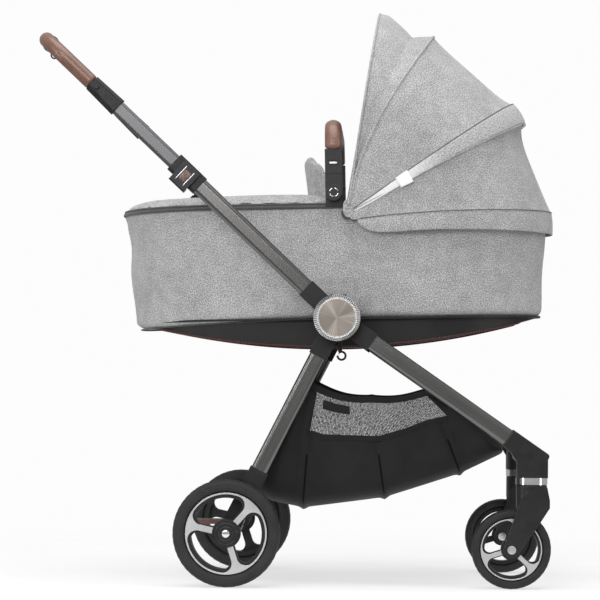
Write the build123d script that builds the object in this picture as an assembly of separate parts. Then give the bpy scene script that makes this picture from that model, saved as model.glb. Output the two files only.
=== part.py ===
from build123d import *
import os
from math import asin, atan2, cos, degrees, hypot, radians, sin

# Baby stroller with a carrycot.  Millimetres; +X is the way it travels, +Y its left, +Z up.
# The origin is on the floor, under the middle of the whole object's box.

# ---- chassis: driving sizes -------------------------------------------------------------
HUB_HEIGHT = 501.0            # fold axis above the floor
REAR_WHEEL_RADIUS = 100.0
FRONT_WHEEL_RADIUS = 74.0
REAR_WHEEL_BACK = 201.0       # rear wheel axis, behind the fold axis
SWIVEL_FORWARD = 364.5        # caster swivel axis, ahead of the fold axis
CASTER_TRAIL = 37.0
ARM_ANGLE = 136.8             # push arm, degrees up from +X
FRONT_LEG_ANGLE = -34.5
GRIP_REACH = 758.0            # fold axis to the middle of the grip's crossbar
FIT = 0.3                     # standard clearance between separate pieces
RUN = 0.05                    # radial clearance of a running fit

# ---- hub stack, out from the centre line ------------------------------------------------
STACK_START = 222.0           # inner face of the rear leg's plate
PLATE = 20.0                  # thickness of one plate with its collar
STACK_GAP = 0.5
PLATE_RADIUS = 43.0
COLLAR_WIDTH = 36.0
COLLAR_END = 80.0             # end of each collar, from the fold axis
TUBE_START = 34.0             # start of each tube, from the fold axis
SHAFT_RADIUS = 10.0
DISC_RADIUS = 34.0
RING_RADIUS = 43.5
RING_DEPTH = 7.0

TUBE = (32.0, 17.0)           # oval tube, width in the side view and thickness
TUBE_WALL = 1.5
SLIDE_CLEARANCE = 0.2         # upper arm inside lower arm, each side

rear_layer = (STACK_START, STACK_START + PLATE)
front_layer = (rear_layer[1] + STACK_GAP, rear_layer[1] + STACK_GAP + PLATE)
arm_layer = (front_layer[1] + STACK_GAP, front_layer[1] + STACK_GAP + PLATE)
cap_start = arm_layer[1] + STACK_GAP

REAR_FOOT_START = 318.0       # along the rear leg
REAR_TYRE_WIDTH = 42.0
REAR_TYRE_DEPTH = 24.3        # rubber between the rim and the floor
WHEEL_GAP = 5.0               # rear tyre to rear foot
AXLE_RADIUS = 6.0
AXLE_TUBE_RADIUS = 10.0

SWIVEL_PLANE = 222.0          # caster plane, out from the centre line
FRONT_TYRE_WIDTH = 36.0
FRONT_TYRE_DEPTH = 17.0
TYRE_ROOM = 4.0               # above the front tyre, inside the fork
CHEEK = 8.0                   # fork cheek thickness
CHEEK_GAP = 2.5               # front tyre to cheek
STEM_RADIUS = 6.0
BOLT_RADIUS = 4.0
SWIVEL_RING_RADIUS = 29.5
SWIVEL_RING_HEIGHT = 13.0
RING_TOP = 208.0              # top of the swivel ring, above the floor
CROSS_TUBE_RADIUS = 9.0
HOUSING_HEIGHT = 46.0         # caster housing at the bottom of each elbow

# ---- push handle ------------------------------------------------------------------------
CLAMP = (353.0, 418.0)        # clamp body, along the arm
LOWER_ARM_END = 405.0
UPPER_ARM_START = 220.0
HANDLE_COLLAR = (565.0, 631.0)
GRIP_RADIUS = 14.0
HANDLEBAR_RADIUS = 11.0
HANDLEBAR_CORNER = 62.0
SLIDE_IN = 90.0               # how far the handle telescopes

# ---- carrycot, in its own frame: origin on the fold axis, tilted head end up -------------
COT_TILT = 1.5
COT_BACK, COT_FRONT = -415.0, 406.0
COT_HALF = 204.0              # half width at the rim
RIM_HEIGHT = 209.0
COT_BOTTOM = 2.0
FOOT_ROUND, HEAD_ROUND = 180.0, 236.0
COT_DRAFT_BACK, COT_DRAFT_FRONT, COT_DRAFT_SIDE = 21.0, 15.0, 6.0
COVER_WALL = 4.0
TUB_DEPTH = 54.0
TUB_INSET = 10.0
FLANGE = 4.0
MATTRESS_THICKNESS = 30.0
APRON_HEIGHT = 22.0
APRON_END = 0.0
APRON_WALL = 4.0
FLAP_HEIGHT = 84.0
FLAP_HALF = 150.0
FLAP_BOW = 38.0

HOOD_PIVOT = (20.6, 196.9)
HOOD_OVERHANG = 4.4           # hood's outside beyond the carrycot's head end
HOOD_STRAIGHT = 150.0         # straight part of each bow's leg
VISOR_LIFT = 14.2             # visor's edge beyond the hood's radius
PANEL = 1.5                   # fabric panel thickness
BOW_THICKNESS, BOW_WIDTH = 2.5, 8.0
BAND_ANGLE, MID_ANGLE, FRONT_ANGLE, VISOR_ANGLE = -5.5, 31.0, 64.0, 79.5
PIN_RADIUS = 4.0
EYE_RADIUS = 11.0

CARRY_PIVOT = (-3.2, 236.0)
CARRY_ARM_WIDTH, CARRY_ARM_THICKNESS = 32.0, 9.7
CARRY_ARM_TOP = 318.0
CARRY_GRIP_TOP = 376.0
CARRY_GRIP = (31.0, 23.0)      # oval section, along X and across
CARRY_CORNER = 46.0

# ---- places worked out from the sizes ---------------------------------------------------
cot_rotation = Rot(0, -COT_TILT, 0)
tilt = radians(COT_TILT)
HOOD_RADIUS = COT_FRONT + HOOD_OVERHANG - HOOD_PIVOT[0]
hood_pivot_x = HOOD_PIVOT[0] * cos(tilt) - HOOD_PIVOT[1] * sin(tilt)
VISOR_RADIUS = HOOD_RADIUS + VISOR_LIFT
reach_front = hood_pivot_x + HOOD_RADIUS
reach_back = -GRIP_REACH * cos(radians(ARM_ANGLE)) + GRIP_RADIUS
HUB_X = (reach_back - reach_front) / 2
cot_place = Pos(HUB_X, 0, HUB_HEIGHT) * cot_rotation

rear_wheel_drop = HUB_HEIGHT - REAR_WHEEL_RADIUS
rear_leg_length = hypot(REAR_WHEEL_BACK, rear_wheel_drop)
REAR_LEG_ANGLE = degrees(atan2(-rear_wheel_drop, -REAR_WHEEL_BACK))
rear_wheel_x = HUB_X - REAR_WHEEL_BACK
swivel_x = HUB_X + SWIVEL_FORWARD
front_wheel_x = swivel_x - CASTER_TRAIL
rear_wheel_plane = rear_layer[1] + WHEEL_GAP + REAR_TYRE_WIDTH / 2
rear_tube_y = sum(rear_layer) / 2
front_tube_y = sum(front_layer) / 2
arm_y = sum(arm_layer) / 2
inner_tube = (TUBE[0] - 2 * TUBE_WALL, TUBE[1] - 2 * TUBE_WALL)
upper_tube = (inner_tube[0] - 2 * SLIDE_CLEARANCE, inner_tube[1] - 2 * SLIDE_CLEARANCE)
front_leg_length = (SWIVEL_FORWARD - 10) / cos(radians(FRONT_LEG_ANGLE)) - 30

nodes = {}


# ---- building helpers -------------------------------------------------------------------
def left_and_right(shape):
    """A piece on the left (+Y) side and its mirror image."""
    return [shape, mirror(shape, Plane.XZ)]


def pair(name, shape):
    """Both sides in one node."""
    nodes[name] = left_and_right(shape)


def sides(name, shape):
    """One node for each side."""
    nodes[name + "_left"], nodes[name + "_right"] = ([s] for s in left_and_right(shape))


def slab(sketch, y_low, y_high, x=HUB_X, z=HUB_HEIGHT):
    """A side-view sketch centred on (x, z), extruded from y_low to y_high."""
    plane = Plane(origin=(x, y_high, z), x_dir=(1, 0, 0), z_dir=(0, -1, 0))
    return extrude(plane * sketch, y_high - y_low)


def along(angle, distance, y):
    """A plane square to a leg or arm: x up its side-view width, z out along it."""
    a = radians(angle)
    origin = (HUB_X + distance * cos(a), y, HUB_HEIGHT + distance * sin(a))
    return Plane(origin=origin, x_dir=(-sin(a), 0, cos(a)), z_dir=(cos(a), 0, sin(a)))


def oval(size):
    return SlotOverall(size[0], size[1])


def oval_tube(angle, start, end, y, outer=TUBE, inner=inner_tube):
    """An oval tube along a leg or arm."""
    return extrude(along(angle, start, y) * (oval(outer) - oval(inner)), end - start)


def oval_bar(angle, start, end, y, size):
    return extrude(along(angle, start, y) * oval(size), end - start)


def y_cylinder(radius, y_low, y_high, x=HUB_X, z=HUB_HEIGHT):
    return slab(Circle(radius), y_low, y_high, x, z)


def block(x0, x1, y0, y1, z0, z1):
    size = (x1 - x0, y1 - y0, z1 - z0)
    return Pos((x0 + x1) / 2, (y0 + y1) / 2, (z0 + z1) / 2) * Box(*size)


# ---- hub: three plates that turn on one shaft --------------------------------------------
def hub_plate(angle, layer, bore, tube_size=TUBE):
    """A round plate with a collar that holds a tube."""
    middle = sum(layer) / 2
    collar_half = COLLAR_END / 2
    collar = Rot(0, 0, angle) * Pos(collar_half, 0) * Rectangle(COLLAR_END, COLLAR_WIDTH)
    plate = slab(Circle(PLATE_RADIUS) + collar, *layer)
    plate -= y_cylinder(bore, layer[0] - 1, layer[1] + 1)
    return plate - oval_bar(angle, TUBE_START, COLLAR_END + 1, middle, tube_size)


def hub():
    pair("rear_hub_plates", hub_plate(REAR_LEG_ANGLE, rear_layer, SHAFT_RADIUS + RUN))
    pair("front_hub_plates", hub_plate(FRONT_LEG_ANGLE, front_layer, SHAFT_RADIUS))
    pair("arm_hub_plates", hub_plate(ARM_ANGLE, arm_layer, SHAFT_RADIUS + RUN))
    pair("hub_shafts", y_cylinder(SHAFT_RADIUS, SOCKET[0] + SOCKET_SEAT, cap_start + 1))
    disc = y_cylinder(DISC_RADIUS, cap_start, cap_start + RING_DEPTH)
    pair("hub_discs", disc - y_cylinder(SHAFT_RADIUS, cap_start - 1, cap_start + 1))
    ring = Circle(RING_RADIUS) - Circle(DISC_RADIUS)
    pair("hub_rings", slab(ring, cap_start, cap_start + RING_DEPTH - 1))


# ---- legs -------------------------------------------------------------------------------
def legs():
    pair("front_legs", oval_tube(FRONT_LEG_ANGLE, TUBE_START, front_leg_length, front_tube_y))
    rear_end = REAR_FOOT_START + 40
    pair("rear_legs", oval_tube(REAR_LEG_ANGLE, TUBE_START, rear_end, rear_tube_y))


def rear_foot():
    """Bracket at the bottom of a rear leg that carries the axle."""
    length = rear_leg_length - REAR_FOOT_START
    bar = Pos(REAR_FOOT_START + length / 2, 0) * Rectangle(length, COLLAR_WIDTH)
    sketch = Rot(0, 0, REAR_LEG_ANGLE) * (bar + Pos(rear_leg_length, 0) * Circle(COLLAR_WIDTH / 2))
    foot = slab(sketch, *rear_layer)
    foot -= oval_bar(REAR_LEG_ANGLE, REAR_FOOT_START - 1, REAR_FOOT_START + 40, rear_tube_y, TUBE)
    return foot - y_cylinder(AXLE_RADIUS, 0, 400, rear_wheel_x, REAR_WHEEL_RADIUS)


def rear_axle():
    """One rod for both wheels, in a tube between the feet."""
    end = rear_wheel_plane + REAR_TYRE_WIDTH / 2 - 2
    z = REAR_WHEEL_RADIUS
    rod = y_cylinder(AXLE_RADIUS, -end, end, rear_wheel_x, z)
    return rod + y_cylinder(AXLE_TUBE_RADIUS, -rear_layer[0], rear_layer[0], rear_wheel_x, z)


def brake_pedal():
    """Foot pedal that turns on the middle of the axle tube."""
    reach, half, thick, boss = 78, 32, 8, 16
    sketch = Circle(boss) + Pos(-reach / 2, thick) * Rectangle(reach, thick)
    pedal = slab(sketch, -half, half, rear_wheel_x, REAR_WHEEL_RADIUS)
    bore = AXLE_TUBE_RADIUS + RUN
    return pedal - y_cylinder(bore, -half - 1, half + 1, rear_wheel_x, REAR_WHEEL_RADIUS)


# ---- wheels -----------------------------------------------------------------------------
SPOKES = 3
TYRE_SHOULDER = 0.44          # corner radius, as a share of the rubber's depth
REAR_SPOKE = 48.0             # angle of each wheel's first spoke
FRONT_SPOKE = 78.0


def spoke_windows(outer, inner, half_width, corner, first):
    """The three openings between the spokes, which flare where they meet the rim."""
    ring = Circle(outer) - Circle(inner)
    for i in range(SPOKES):
        turn = Rot(0, 0, first + i * 360 / SPOKES)
        ring -= turn * Pos(outer / 2, 0) * Rectangle(outer + 10, 2 * half_width)
    corners = ring.vertices().filter_by(lambda v: hypot(v.X, v.Y) > (outer + inner) / 2)
    return fillet(corners, corner)


def wheel(radius, tyre_width, plane, x, tyre_depth, hub_half, bore, spoke, name):
    """Tyre, black rim and bright face of one wheel, for both sides."""
    z = radius
    rim_radius = radius - tyre_depth
    scale = radius / REAR_WHEEL_RADIUS
    half = tyre_width / 2
    profile = Pos(radius - tyre_depth / 2, 0) * RectangleRounded(
        tyre_depth, tyre_width, TYRE_SHOULDER * tyre_depth)
    tyre = Pos(x, plane, z) * Rot(90, 0, 0) * revolve(Rot(90, 0, 0) * profile, Axis.Z)
    seat = half - 5 * scale - 1
    outer_face = plane + seat
    lip = 3.2 * scale
    rim = slab(Circle(rim_radius) - Circle(rim_radius - 9.7 * scale), plane - seat, outer_face, x, z)
    web = Circle(rim_radius - 5 * scale)
    web -= spoke_windows(rim_radius - 9 * scale, 27 * scale, 8 * scale, 14 * scale, spoke)
    rim += slab(web, outer_face - 16 * scale, outer_face, x, z)
    rim += y_cylinder(22 * scale, plane - hub_half, plane + hub_half, x, z)
    rim -= y_cylinder(bore, plane - hub_half - 1, plane + hub_half + 1, x, z)
    face = Circle(rim_radius) - Circle(26 * scale)
    face -= spoke_windows(rim_radius - lip, 20 * scale, 5.6 * scale, 17 * scale, spoke)
    trim = slab(face, outer_face, outer_face + 1.5, x, z)
    sides(name + "_tyre", tyre)
    sides(name + "_rim", rim)
    sides(name + "_trim", trim)


def wheels():
    rear_hub_half = REAR_TYRE_WIDTH / 2 + WHEEL_GAP - 1.5
    wheel(REAR_WHEEL_RADIUS, REAR_TYRE_WIDTH, rear_wheel_plane, rear_wheel_x,
          REAR_TYRE_DEPTH,
          REAR_TYRE_WIDTH / 2 - 1, AXLE_RADIUS + RUN, REAR_SPOKE, "rear")
    cap_face = rear_wheel_plane + REAR_TYRE_WIDTH / 2 - 1
    cap = y_cylinder(25, cap_face, cap_face + 2.0, rear_wheel_x, REAR_WHEEL_RADIUS)
    for cap_radius, rise in ((20, 3.5), (13, 4.4), (8.5, 5.0)):
        cap += y_cylinder(cap_radius, cap_face, cap_face + rise, rear_wheel_x, REAR_WHEEL_RADIUS)
    sides("rear_hub_cap", cap)
    wheel(FRONT_WHEEL_RADIUS, FRONT_TYRE_WIDTH, SWIVEL_PLANE, front_wheel_x,
          FRONT_TYRE_DEPTH,
          FRONT_TYRE_WIDTH / 2 + CHEEK_GAP - FIT, BOLT_RADIUS + RUN, FRONT_SPOKE, "front")


# ---- front casters ----------------------------------------------------------------------
ring_bottom = RING_TOP - SWIVEL_RING_HEIGHT
fork_top = ring_bottom - FIT
fork_inner = FRONT_TYRE_WIDTH / 2 + CHEEK_GAP
fork_outer = fork_inner + CHEEK
cross_end = SWIVEL_PLANE - 14
cross_place = (swivel_x - 10, RING_TOP + 28)


def fork():
    """Swivel fork: a round crown with a stem on top, and a raked cheek on each side of the wheel."""
    z, top = FRONT_WHEEL_RADIUS, fork_top - FRONT_WHEEL_RADIUS
    outline = make_face(Polyline(
        (-4, top - 6), (22, top - 1), (28, top - 4), (33, 92), (33, 78), (15, 50),
        (-CASTER_TRAIL + 14, -7), (-CASTER_TRAIL - 14, 6), (-34, 55), (-19, 96), close=True))
    cheek = fillet(outline.vertices().filter_by(lambda v: v.Y > 20), 4)
    cheek += Pos(-CASTER_TRAIL, 0) * Circle(15)
    cheeks = slab(cheek, SWIVEL_PLANE - fork_outer, SWIVEL_PLANE + fork_outer, swivel_x, z)
    inner = slab(Rectangle(400, 400), SWIVEL_PLANE - fork_inner, SWIVEL_PLANE + fork_inner,
                 swivel_x, z)
    crown_depth = top - FRONT_WHEEL_RADIUS - TYRE_ROOM
    width = 2 * (SWIVEL_RING_RADIUS - 1)
    crown = extrude(Pos(swivel_x, SWIVEL_PLANE, fork_top - crown_depth)
                    * RectangleRounded(width, 2 * fork_outer, 22), crown_depth)
    crown = fillet(crown.edges().group_by(Axis.Z)[-1], 2.5)
    stem = Cylinder(STEM_RADIUS, 30, align=(Align.CENTER, Align.CENTER, Align.MIN))
    body = cheeks - inner + crown + Pos(swivel_x, SWIVEL_PLANE, fork_top - 2) * stem
    body -= y_cylinder(FRONT_WHEEL_RADIUS + TYRE_ROOM, SWIVEL_PLANE - fork_inner,
                       SWIVEL_PLANE + fork_inner, front_wheel_x, z)
    return body - y_cylinder(BOLT_RADIUS, 0, 400, front_wheel_x, z)


def wheel_bolt():
    z = FRONT_WHEEL_RADIUS
    bolt = y_cylinder(BOLT_RADIUS, SWIVEL_PLANE - fork_outer, SWIVEL_PLANE + fork_outer,
                      front_wheel_x, z)
    for low in (SWIVEL_PLANE + fork_outer, SWIVEL_PLANE - fork_outer - 3):
        bolt += y_cylinder(8, low, low + 3, front_wheel_x, z)
    return bolt


def front_elbow():
    """Elbow that joins a front leg to its caster: a socket above, a swivel housing below."""
    x, top = SWIVEL_FORWARD, HUB_HEIGHT - RING_TOP
    leg = radians(FRONT_LEG_ANGLE)
    start, half = front_leg_length - 14, TUBE[0] / 2 + 2
    mouth = [(start * cos(leg) - s * half * sin(leg), start * sin(leg) + s * half * cos(leg))
             for s in (1, -1)]
    side = SWIVEL_RING_RADIUS - 1
    shape = make_face(Polyline(
        mouth[0], (x + side + 4, -top + 42), (x + side, -top + 34), (x + side, -top),
        (x - side, -top), (x - side, -top + 27), (x - side - 12, -top + 47), mouth[1], close=True))
    shape = fillet(shape.vertices().filter_by(lambda v: -top + 5 < v.Y < -top + 48), 6)
    outer, inner = front_layer[1], SWIVEL_PLANE - side
    elbow = slab(shape, front_layer[0] - 4, outer)
    elbow = fillet(elbow.edges().filter_by(GeomType.LINE).filter_by(Axis.Y, reverse=True)
                   .filter_by(lambda e: e.center().Y > outer - 1), 2.5)
    lower = extrude(Pos(swivel_x, SWIVEL_PLANE, RING_TOP)
                    * RectangleRounded(2 * side, 2 * side, 24), HOUSING_HEIGHT)
    elbow += fillet(lower.edges().group_by(Axis.Z)[-1], 8)
    elbow -= oval_bar(FRONT_LEG_ANGLE, 0, front_leg_length, front_tube_y, TUBE)
    elbow -= y_cylinder(CROSS_TUBE_RADIUS, 0, cross_end, *cross_place)
    elbow -= Pos(swivel_x, SWIVEL_PLANE, RING_TOP - 1) * Cylinder(
        STEM_RADIUS + RUN, 19, align=(Align.CENTER, Align.CENTER, Align.MIN))
    return elbow


def swivel_ring():
    ring = Circle(SWIVEL_RING_RADIUS) - Circle(STEM_RADIUS + RUN)
    return extrude(Pos(swivel_x, SWIVEL_PLANE, ring_bottom) * ring, SWIVEL_RING_HEIGHT)


def front_cross_tubes():
    """A tube between the elbows and one between the front legs, under the carrycot."""
    lower = y_cylinder(CROSS_TUBE_RADIUS, -cross_end, cross_end, *cross_place)
    a, reach = radians(FRONT_LEG_ANGLE), 112
    upper_end = front_tube_y - TUBE[1] / 2
    upper = y_cylinder(CROSS_TUBE_RADIUS - 1, -upper_end, upper_end,
                       HUB_X + reach * cos(a), HUB_HEIGHT + reach * sin(a))
    return [lower, upper]


# ---- carrycot adaptors ------------------------------------------------------------------
SOCKET = (207.3, 221.7)       # adaptor socket on the hub, out from the centre line
SOCKET_SEAT = 10.2            # the hub shaft stops this far into it
SOCKET_HALF = 17.0
SOCKET_Z = (-30.0, -3.0)
PRONG = (210.3, 216.3)
PRONG_HALF = 12.0
POST_INNER = 199.6


def cot_socket():
    """Cup on the inside of the hub that takes the carrycot's prong from above."""
    low, high = HUB_HEIGHT + SOCKET_Z[0], HUB_HEIGHT + SOCKET_Z[1]
    cup = block(HUB_X - SOCKET_HALF, HUB_X + SOCKET_HALF, *SOCKET, low, high)
    plate = y_cylinder(SOCKET_HALF, SOCKET[0] + SOCKET_SEAT, SOCKET[1])
    cup += plate
    pocket = PRONG_HALF + 0.5
    cup -= block(HUB_X - pocket, HUB_X + pocket, PRONG[0] - 0.5, PRONG[1] + 0.5,
                 low + 3, high + 60)
    return cup - y_cylinder(SHAFT_RADIUS, SOCKET[0] + SOCKET_SEAT, SOCKET[1] + 1)


def cot_post():
    """Plate on the carrycot's side with a prong that drops into the socket."""
    top = HUB_HEIGHT + SOCKET_Z[1] + 0.5
    plate = block(HUB_X - 16, HUB_X + 16, POST_INNER, POST_INNER + 4, top, top + 48)
    shelf = block(HUB_X - 16, HUB_X + 16, POST_INNER + 4, PRONG[1], top, top + 8)
    prong = block(HUB_X - PRONG_HALF, HUB_X + PRONG_HALF, *PRONG, top - 22, top)
    return plate + shelf + prong


def fold_hook():
    """Catch that hangs under the right socket and holds the folded frame."""
    length, eye = 34, (8, SOCKET_Z[0] - 40)
    shank = Pos(5, SOCKET_Z[0] - length / 2) * Rectangle(8, length)
    sketch = shank + Pos(*eye) * Circle(9.5) - Pos(*eye) * Circle(5.5)
    sketch -= Pos(eye[0] - 10, eye[1] + 4) * Rectangle(9, 7)
    return slab(sketch, -SOCKET[0] - 6.2, -SOCKET[0] - 1.2)


# ---- push handle ------------------------------------------------------------------------
def lower_arms():
    pair("lower_arms", oval_tube(ARM_ANGLE, TUBE_START, LOWER_ARM_END, arm_y))
    length = CLAMP[1] - CLAMP[0]
    size = (TUBE[0] + 6, TUBE[1] + 9)
    body = extrude(along(ARM_ANGLE, CLAMP[0], arm_y) * RectangleRounded(*size, 7), length)
    body -= oval_bar(ARM_ANGLE, CLAMP[0] - 1, LOWER_ARM_END, arm_y, TUBE)
    opening = (upper_tube[0] + 2 * FIT, upper_tube[1] + 2 * FIT)
    body -= oval_bar(ARM_ANGLE, LOWER_ARM_END - 1, CLAMP[1] + 1, arm_y, opening)
    pair("clamp_bodies", body)


def clamp_lever():
    """Flip lever on the clamp's outer face, hinged along its upper edge."""
    thick = 6.0
    face = arm_y + TUBE[1] / 2 + 4.5 + FIT
    start, length = CLAMP[0] + 13, 37
    place = along(ARM_ANGLE, start, face + thick / 2)
    across = 19 + 30
    lever = extrude(place * Pos(across / 2 - 19, 0) * SlotOverall(across, thick), length)
    foot = extrude(place * Pos(26, thick / 2 + 5) * RectangleRounded(8, 16, 2.5), length)
    return lever + foot


def upper_handle():
    pair("upper_arms", oval_tube(
        ARM_ANGLE, UPPER_ARM_START, HANDLE_COLLAR[0] + 34, arm_y,
        upper_tube, (upper_tube[0] - 3, upper_tube[1] - 3)))
    lower = along(ARM_ANGLE, HANDLE_COLLAR[0], arm_y) * RectangleRounded(35, 24, 9)
    upper = along(ARM_ANGLE, HANDLE_COLLAR[1], arm_y) * RectangleRounded(31, 28, 11)
    collar = loft([lower, upper])
    collar -= oval_bar(ARM_ANGLE, HANDLE_COLLAR[0] - 1, HANDLE_COLLAR[0] + 34, arm_y, upper_tube)
    core_start = HANDLE_COLLAR[0] + 36
    place = along(ARM_ANGLE, core_start, arm_y)
    collar -= extrude(place * Circle(HANDLEBAR_RADIUS), 60)
    pair("handle_collars", collar)
    nodes["handlebar"] = [u_bar(core_start, HANDLEBAR_RADIUS, HANDLEBAR_RADIUS - 2)]
    nodes["handle_grip"] = [u_bar(HANDLE_COLLAR[1], GRIP_RADIUS, HANDLEBAR_RADIUS)]


def u_bar(start, outer, inner):
    """A round bar across both arms, with rounded corners."""
    plane = Plane(origin=(HUB_X, 0, HUB_HEIGHT), x_dir=(0, 1, 0),
                  z_dir=(sin(radians(ARM_ANGLE)), 0, -cos(radians(ARM_ANGLE))))
    path = FilletPolyline((-arm_y, -start), (-arm_y, -GRIP_REACH), (arm_y, -GRIP_REACH),
                          (arm_y, -start), radius=HANDLEBAR_CORNER)
    if (plane * Pos(0, -1, 0)).position.Z < HUB_HEIGHT:
        path = mirror(path, Plane.XZ)
    path = plane * path
    section = Plane(origin=path @ 0, z_dir=path % 0)
    return sweep(section * (Circle(outer) - Circle(inner)), path=path)


def wrist_strap():
    """Strap band round the grip's crossbar, with a small ring under it."""
    a = radians(ARM_ANGLE)
    x, z = HUB_X + GRIP_REACH * cos(a), HUB_HEIGHT + GRIP_REACH * sin(a)
    y, width = -arm_y + 120, 14
    band = slab(Circle(GRIP_RADIUS + 1.6) - Circle(GRIP_RADIUS), y - width / 2, y + width / 2, x, z)
    ring_x, ring_z = x + 8, z - GRIP_RADIUS - 7
    ring = Circle(6) - Circle(3.6)
    return band + slab(ring, y - 3, y + 3, ring_x, ring_z)


# ---- carrycot ---------------------------------------------------------------------------
def plan(inset, level):
    """The carrycot's plan outline at a level, 0 at its bottom and 1 at the rim."""
    drop = 1 - level
    back = COT_BACK + drop * COT_DRAFT_BACK + inset
    front = COT_FRONT - drop * COT_DRAFT_FRONT - inset
    half = COT_HALF - drop * COT_DRAFT_SIDE - inset
    foot, head = FOOT_ROUND - inset, HEAD_ROUND - inset
    tail = EllipticalCenterArc((back + foot, 0), foot, half, 90, arc_size=180)
    nose = EllipticalCenterArc((front - head, 0), head, half, -90, arc_size=180)
    return make_face([tail, Line(tail @ 1, nose @ 0), nose, Line(nose @ 1, tail @ 0)])


def cot_wall(inset):
    low = Pos(0, 0, COT_BOTTOM) * plan(inset, 0)
    high = Pos(0, 0, RIM_HEIGHT) * plan(inset, 1)
    return loft([low, high])


def cot_cover():
    return cot_place * (cot_wall(0) - cot_wall(COVER_WALL))


def boat(inset):
    """The tub's hull: a shallow arc in side view, cut to the plan outline."""
    ends = (COT_BACK + 30 + inset, COT_BOTTOM - FLANGE), (COT_FRONT - 25 - inset, COT_BOTTOM - FLANGE)
    arc = ThreePointArc(ends[0], (-15, COT_BOTTOM - TUB_DEPTH + inset), ends[1])
    profile = make_face([arc, Line(ends[1], ends[0])])
    half = COT_HALF - COT_DRAFT_SIDE - TUB_INSET - inset
    plane = Plane(origin=(0, half, 0), x_dir=(1, 0, 0), z_dir=(0, -1, 0))
    hull = extrude(plane * profile, 2 * half)
    return hull & extrude(Pos(0, 0, -80) * plan(TUB_INSET + inset, 0), 100)


def cot_tub():
    wall = 4
    tub = boat(0) - boat(wall)
    rim = plan(1, 0) - plan(TUB_INSET + wall, 0)
    return cot_place * (tub + extrude(Pos(0, 0, COT_BOTTOM - FLANGE) * rim, FLANGE))


def mattress():
    inset = COVER_WALL + 4
    pad = extrude(Pos(0, 0, COT_BOTTOM) * plan(inset, 0), MATTRESS_THICKNESS)
    return cot_place * pad


def apron():
    """Padded cover over the foot half."""
    def dome(inset):
        cut = Pos(COT_BACK - 10, 0) * Rectangle(
            APRON_END - COT_BACK + 10 - inset, 3 * COT_HALF, align=(Align.MIN, Align.CENTER))
        solid = extrude(Pos(0, 0, RIM_HEIGHT) * (plan(inset, 1) & cut), APRON_HEIGHT - inset)
        top = solid.edges().group_by(Axis.Z)[-1]
        return fillet(top, (APRON_HEIGHT - inset) * 0.8)
    return cot_place * (dome(0) - dome(APRON_WALL))


def wind_flap():
    """Curved wall that stands on the apron's end."""
    def arc(shift):
        end = APRON_END - 12 + shift
        return ThreePointArc((end, -FLAP_HALF), (end - FLAP_BOW, 0), (end, FLAP_HALF))
    near, far = arc(0), arc(APRON_WALL)
    wall = make_face([near, Line(near @ 1, far @ 1), far, Line(far @ 0, near @ 0)])
    flap = extrude(Pos(0, 0, RIM_HEIGHT + APRON_HEIGHT) * wall, FLAP_HEIGHT)
    return cot_place * flap


# ---- hood: flat bows that fan about one axis, with fabric panels over them ----------------
BRACKET = (COT_HALF + FIT, COT_HALF + 3.0)
bow_layers = [COT_HALF + 3.3 + i * 2.8 for i in range(3)]
PANEL_HALF = bow_layers[2] + BOW_THICKNESS + FIT + PANEL


def hood_place():
    """Origin at the hood's axis, in the carrycot's frame."""
    return cot_place * Pos(HOOD_PIVOT[0], 0, HOOD_PIVOT[1])


def arch(half, radius):
    """A bow's outline on x = across and y = out from the axis."""
    crown = EllipticalCenterArc((0, HOOD_STRAIGHT), half, radius - HOOD_STRAIGHT, 0, arc_size=180)
    foot_left, foot_right = (-half, 0), (half, 0)
    return make_face([crown, Line(crown @ 1, foot_left), Line(foot_left, foot_right),
                      Line(foot_right, crown @ 0)])


def arch_plane(angle):
    """The plane of a bow at an angle above the rim: x across, y out from the axis."""
    a = radians(angle)
    return Plane(origin=(0, 0, 0), x_dir=(0, -1, 0), z_dir=(-sin(a), 0, cos(a)))


def bow(angle, layer, radius):
    """A flat strip bent over the carrycot, with an eye on the pivot pin at each end."""
    half = bow_layers[layer] + BOW_THICKNESS
    strip = arch(half, radius) - arch(half - BOW_THICKNESS, radius - BOW_THICKNESS)
    solid = extrude(arch_plane(angle) * strip, BOW_WIDTH / 2, both=True)
    for side in (1, -1):
        inner, outer = sorted((side * bow_layers[layer], side * half))
        solid += slab(Circle(EYE_RADIUS), inner, outer, 0, 0)
    solid -= slab(Circle(PIN_RADIUS + RUN), -300, 300, 0, 0)
    return hood_place() * solid


def hood_panel(start, end, radius):
    """The fabric between two bows, as a curved sheet turned about the hood's axis."""
    sheet = arch(PANEL_HALF, radius) - arch(PANEL_HALF - PANEL, radius - PANEL)
    sheet -= Rectangle(1000, 2 * (EYE_RADIUS + 2))
    face = arch_plane(start) * sheet
    return hood_place() * revolve(face, Axis((0, 0, 0), (0, -1, 0)), revolution_arc=end - start)


def hood():
    gap = 0.15
    nodes["hood_mid_bow"] = [bow(MID_ANGLE, 0, HOOD_RADIUS - PANEL - FIT)]
    nodes["hood_front_bow"] = [bow(FRONT_ANGLE, 1, HOOD_RADIUS - PANEL - FIT)]
    nodes["visor_bow"] = [bow(VISOR_ANGLE, 2, VISOR_RADIUS - PANEL - FIT)]
    nodes["hood_rear_panel"] = [hood_panel(BAND_ANGLE, MID_ANGLE - gap, HOOD_RADIUS)]
    nodes["hood_front_panel"] = [hood_panel(MID_ANGLE + gap, FRONT_ANGLE - gap, HOOD_RADIUS)]
    nodes["visor_panel"] = [hood_panel(FRONT_ANGLE + gap, VISOR_ANGLE + 1, VISOR_RADIUS)]


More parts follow.
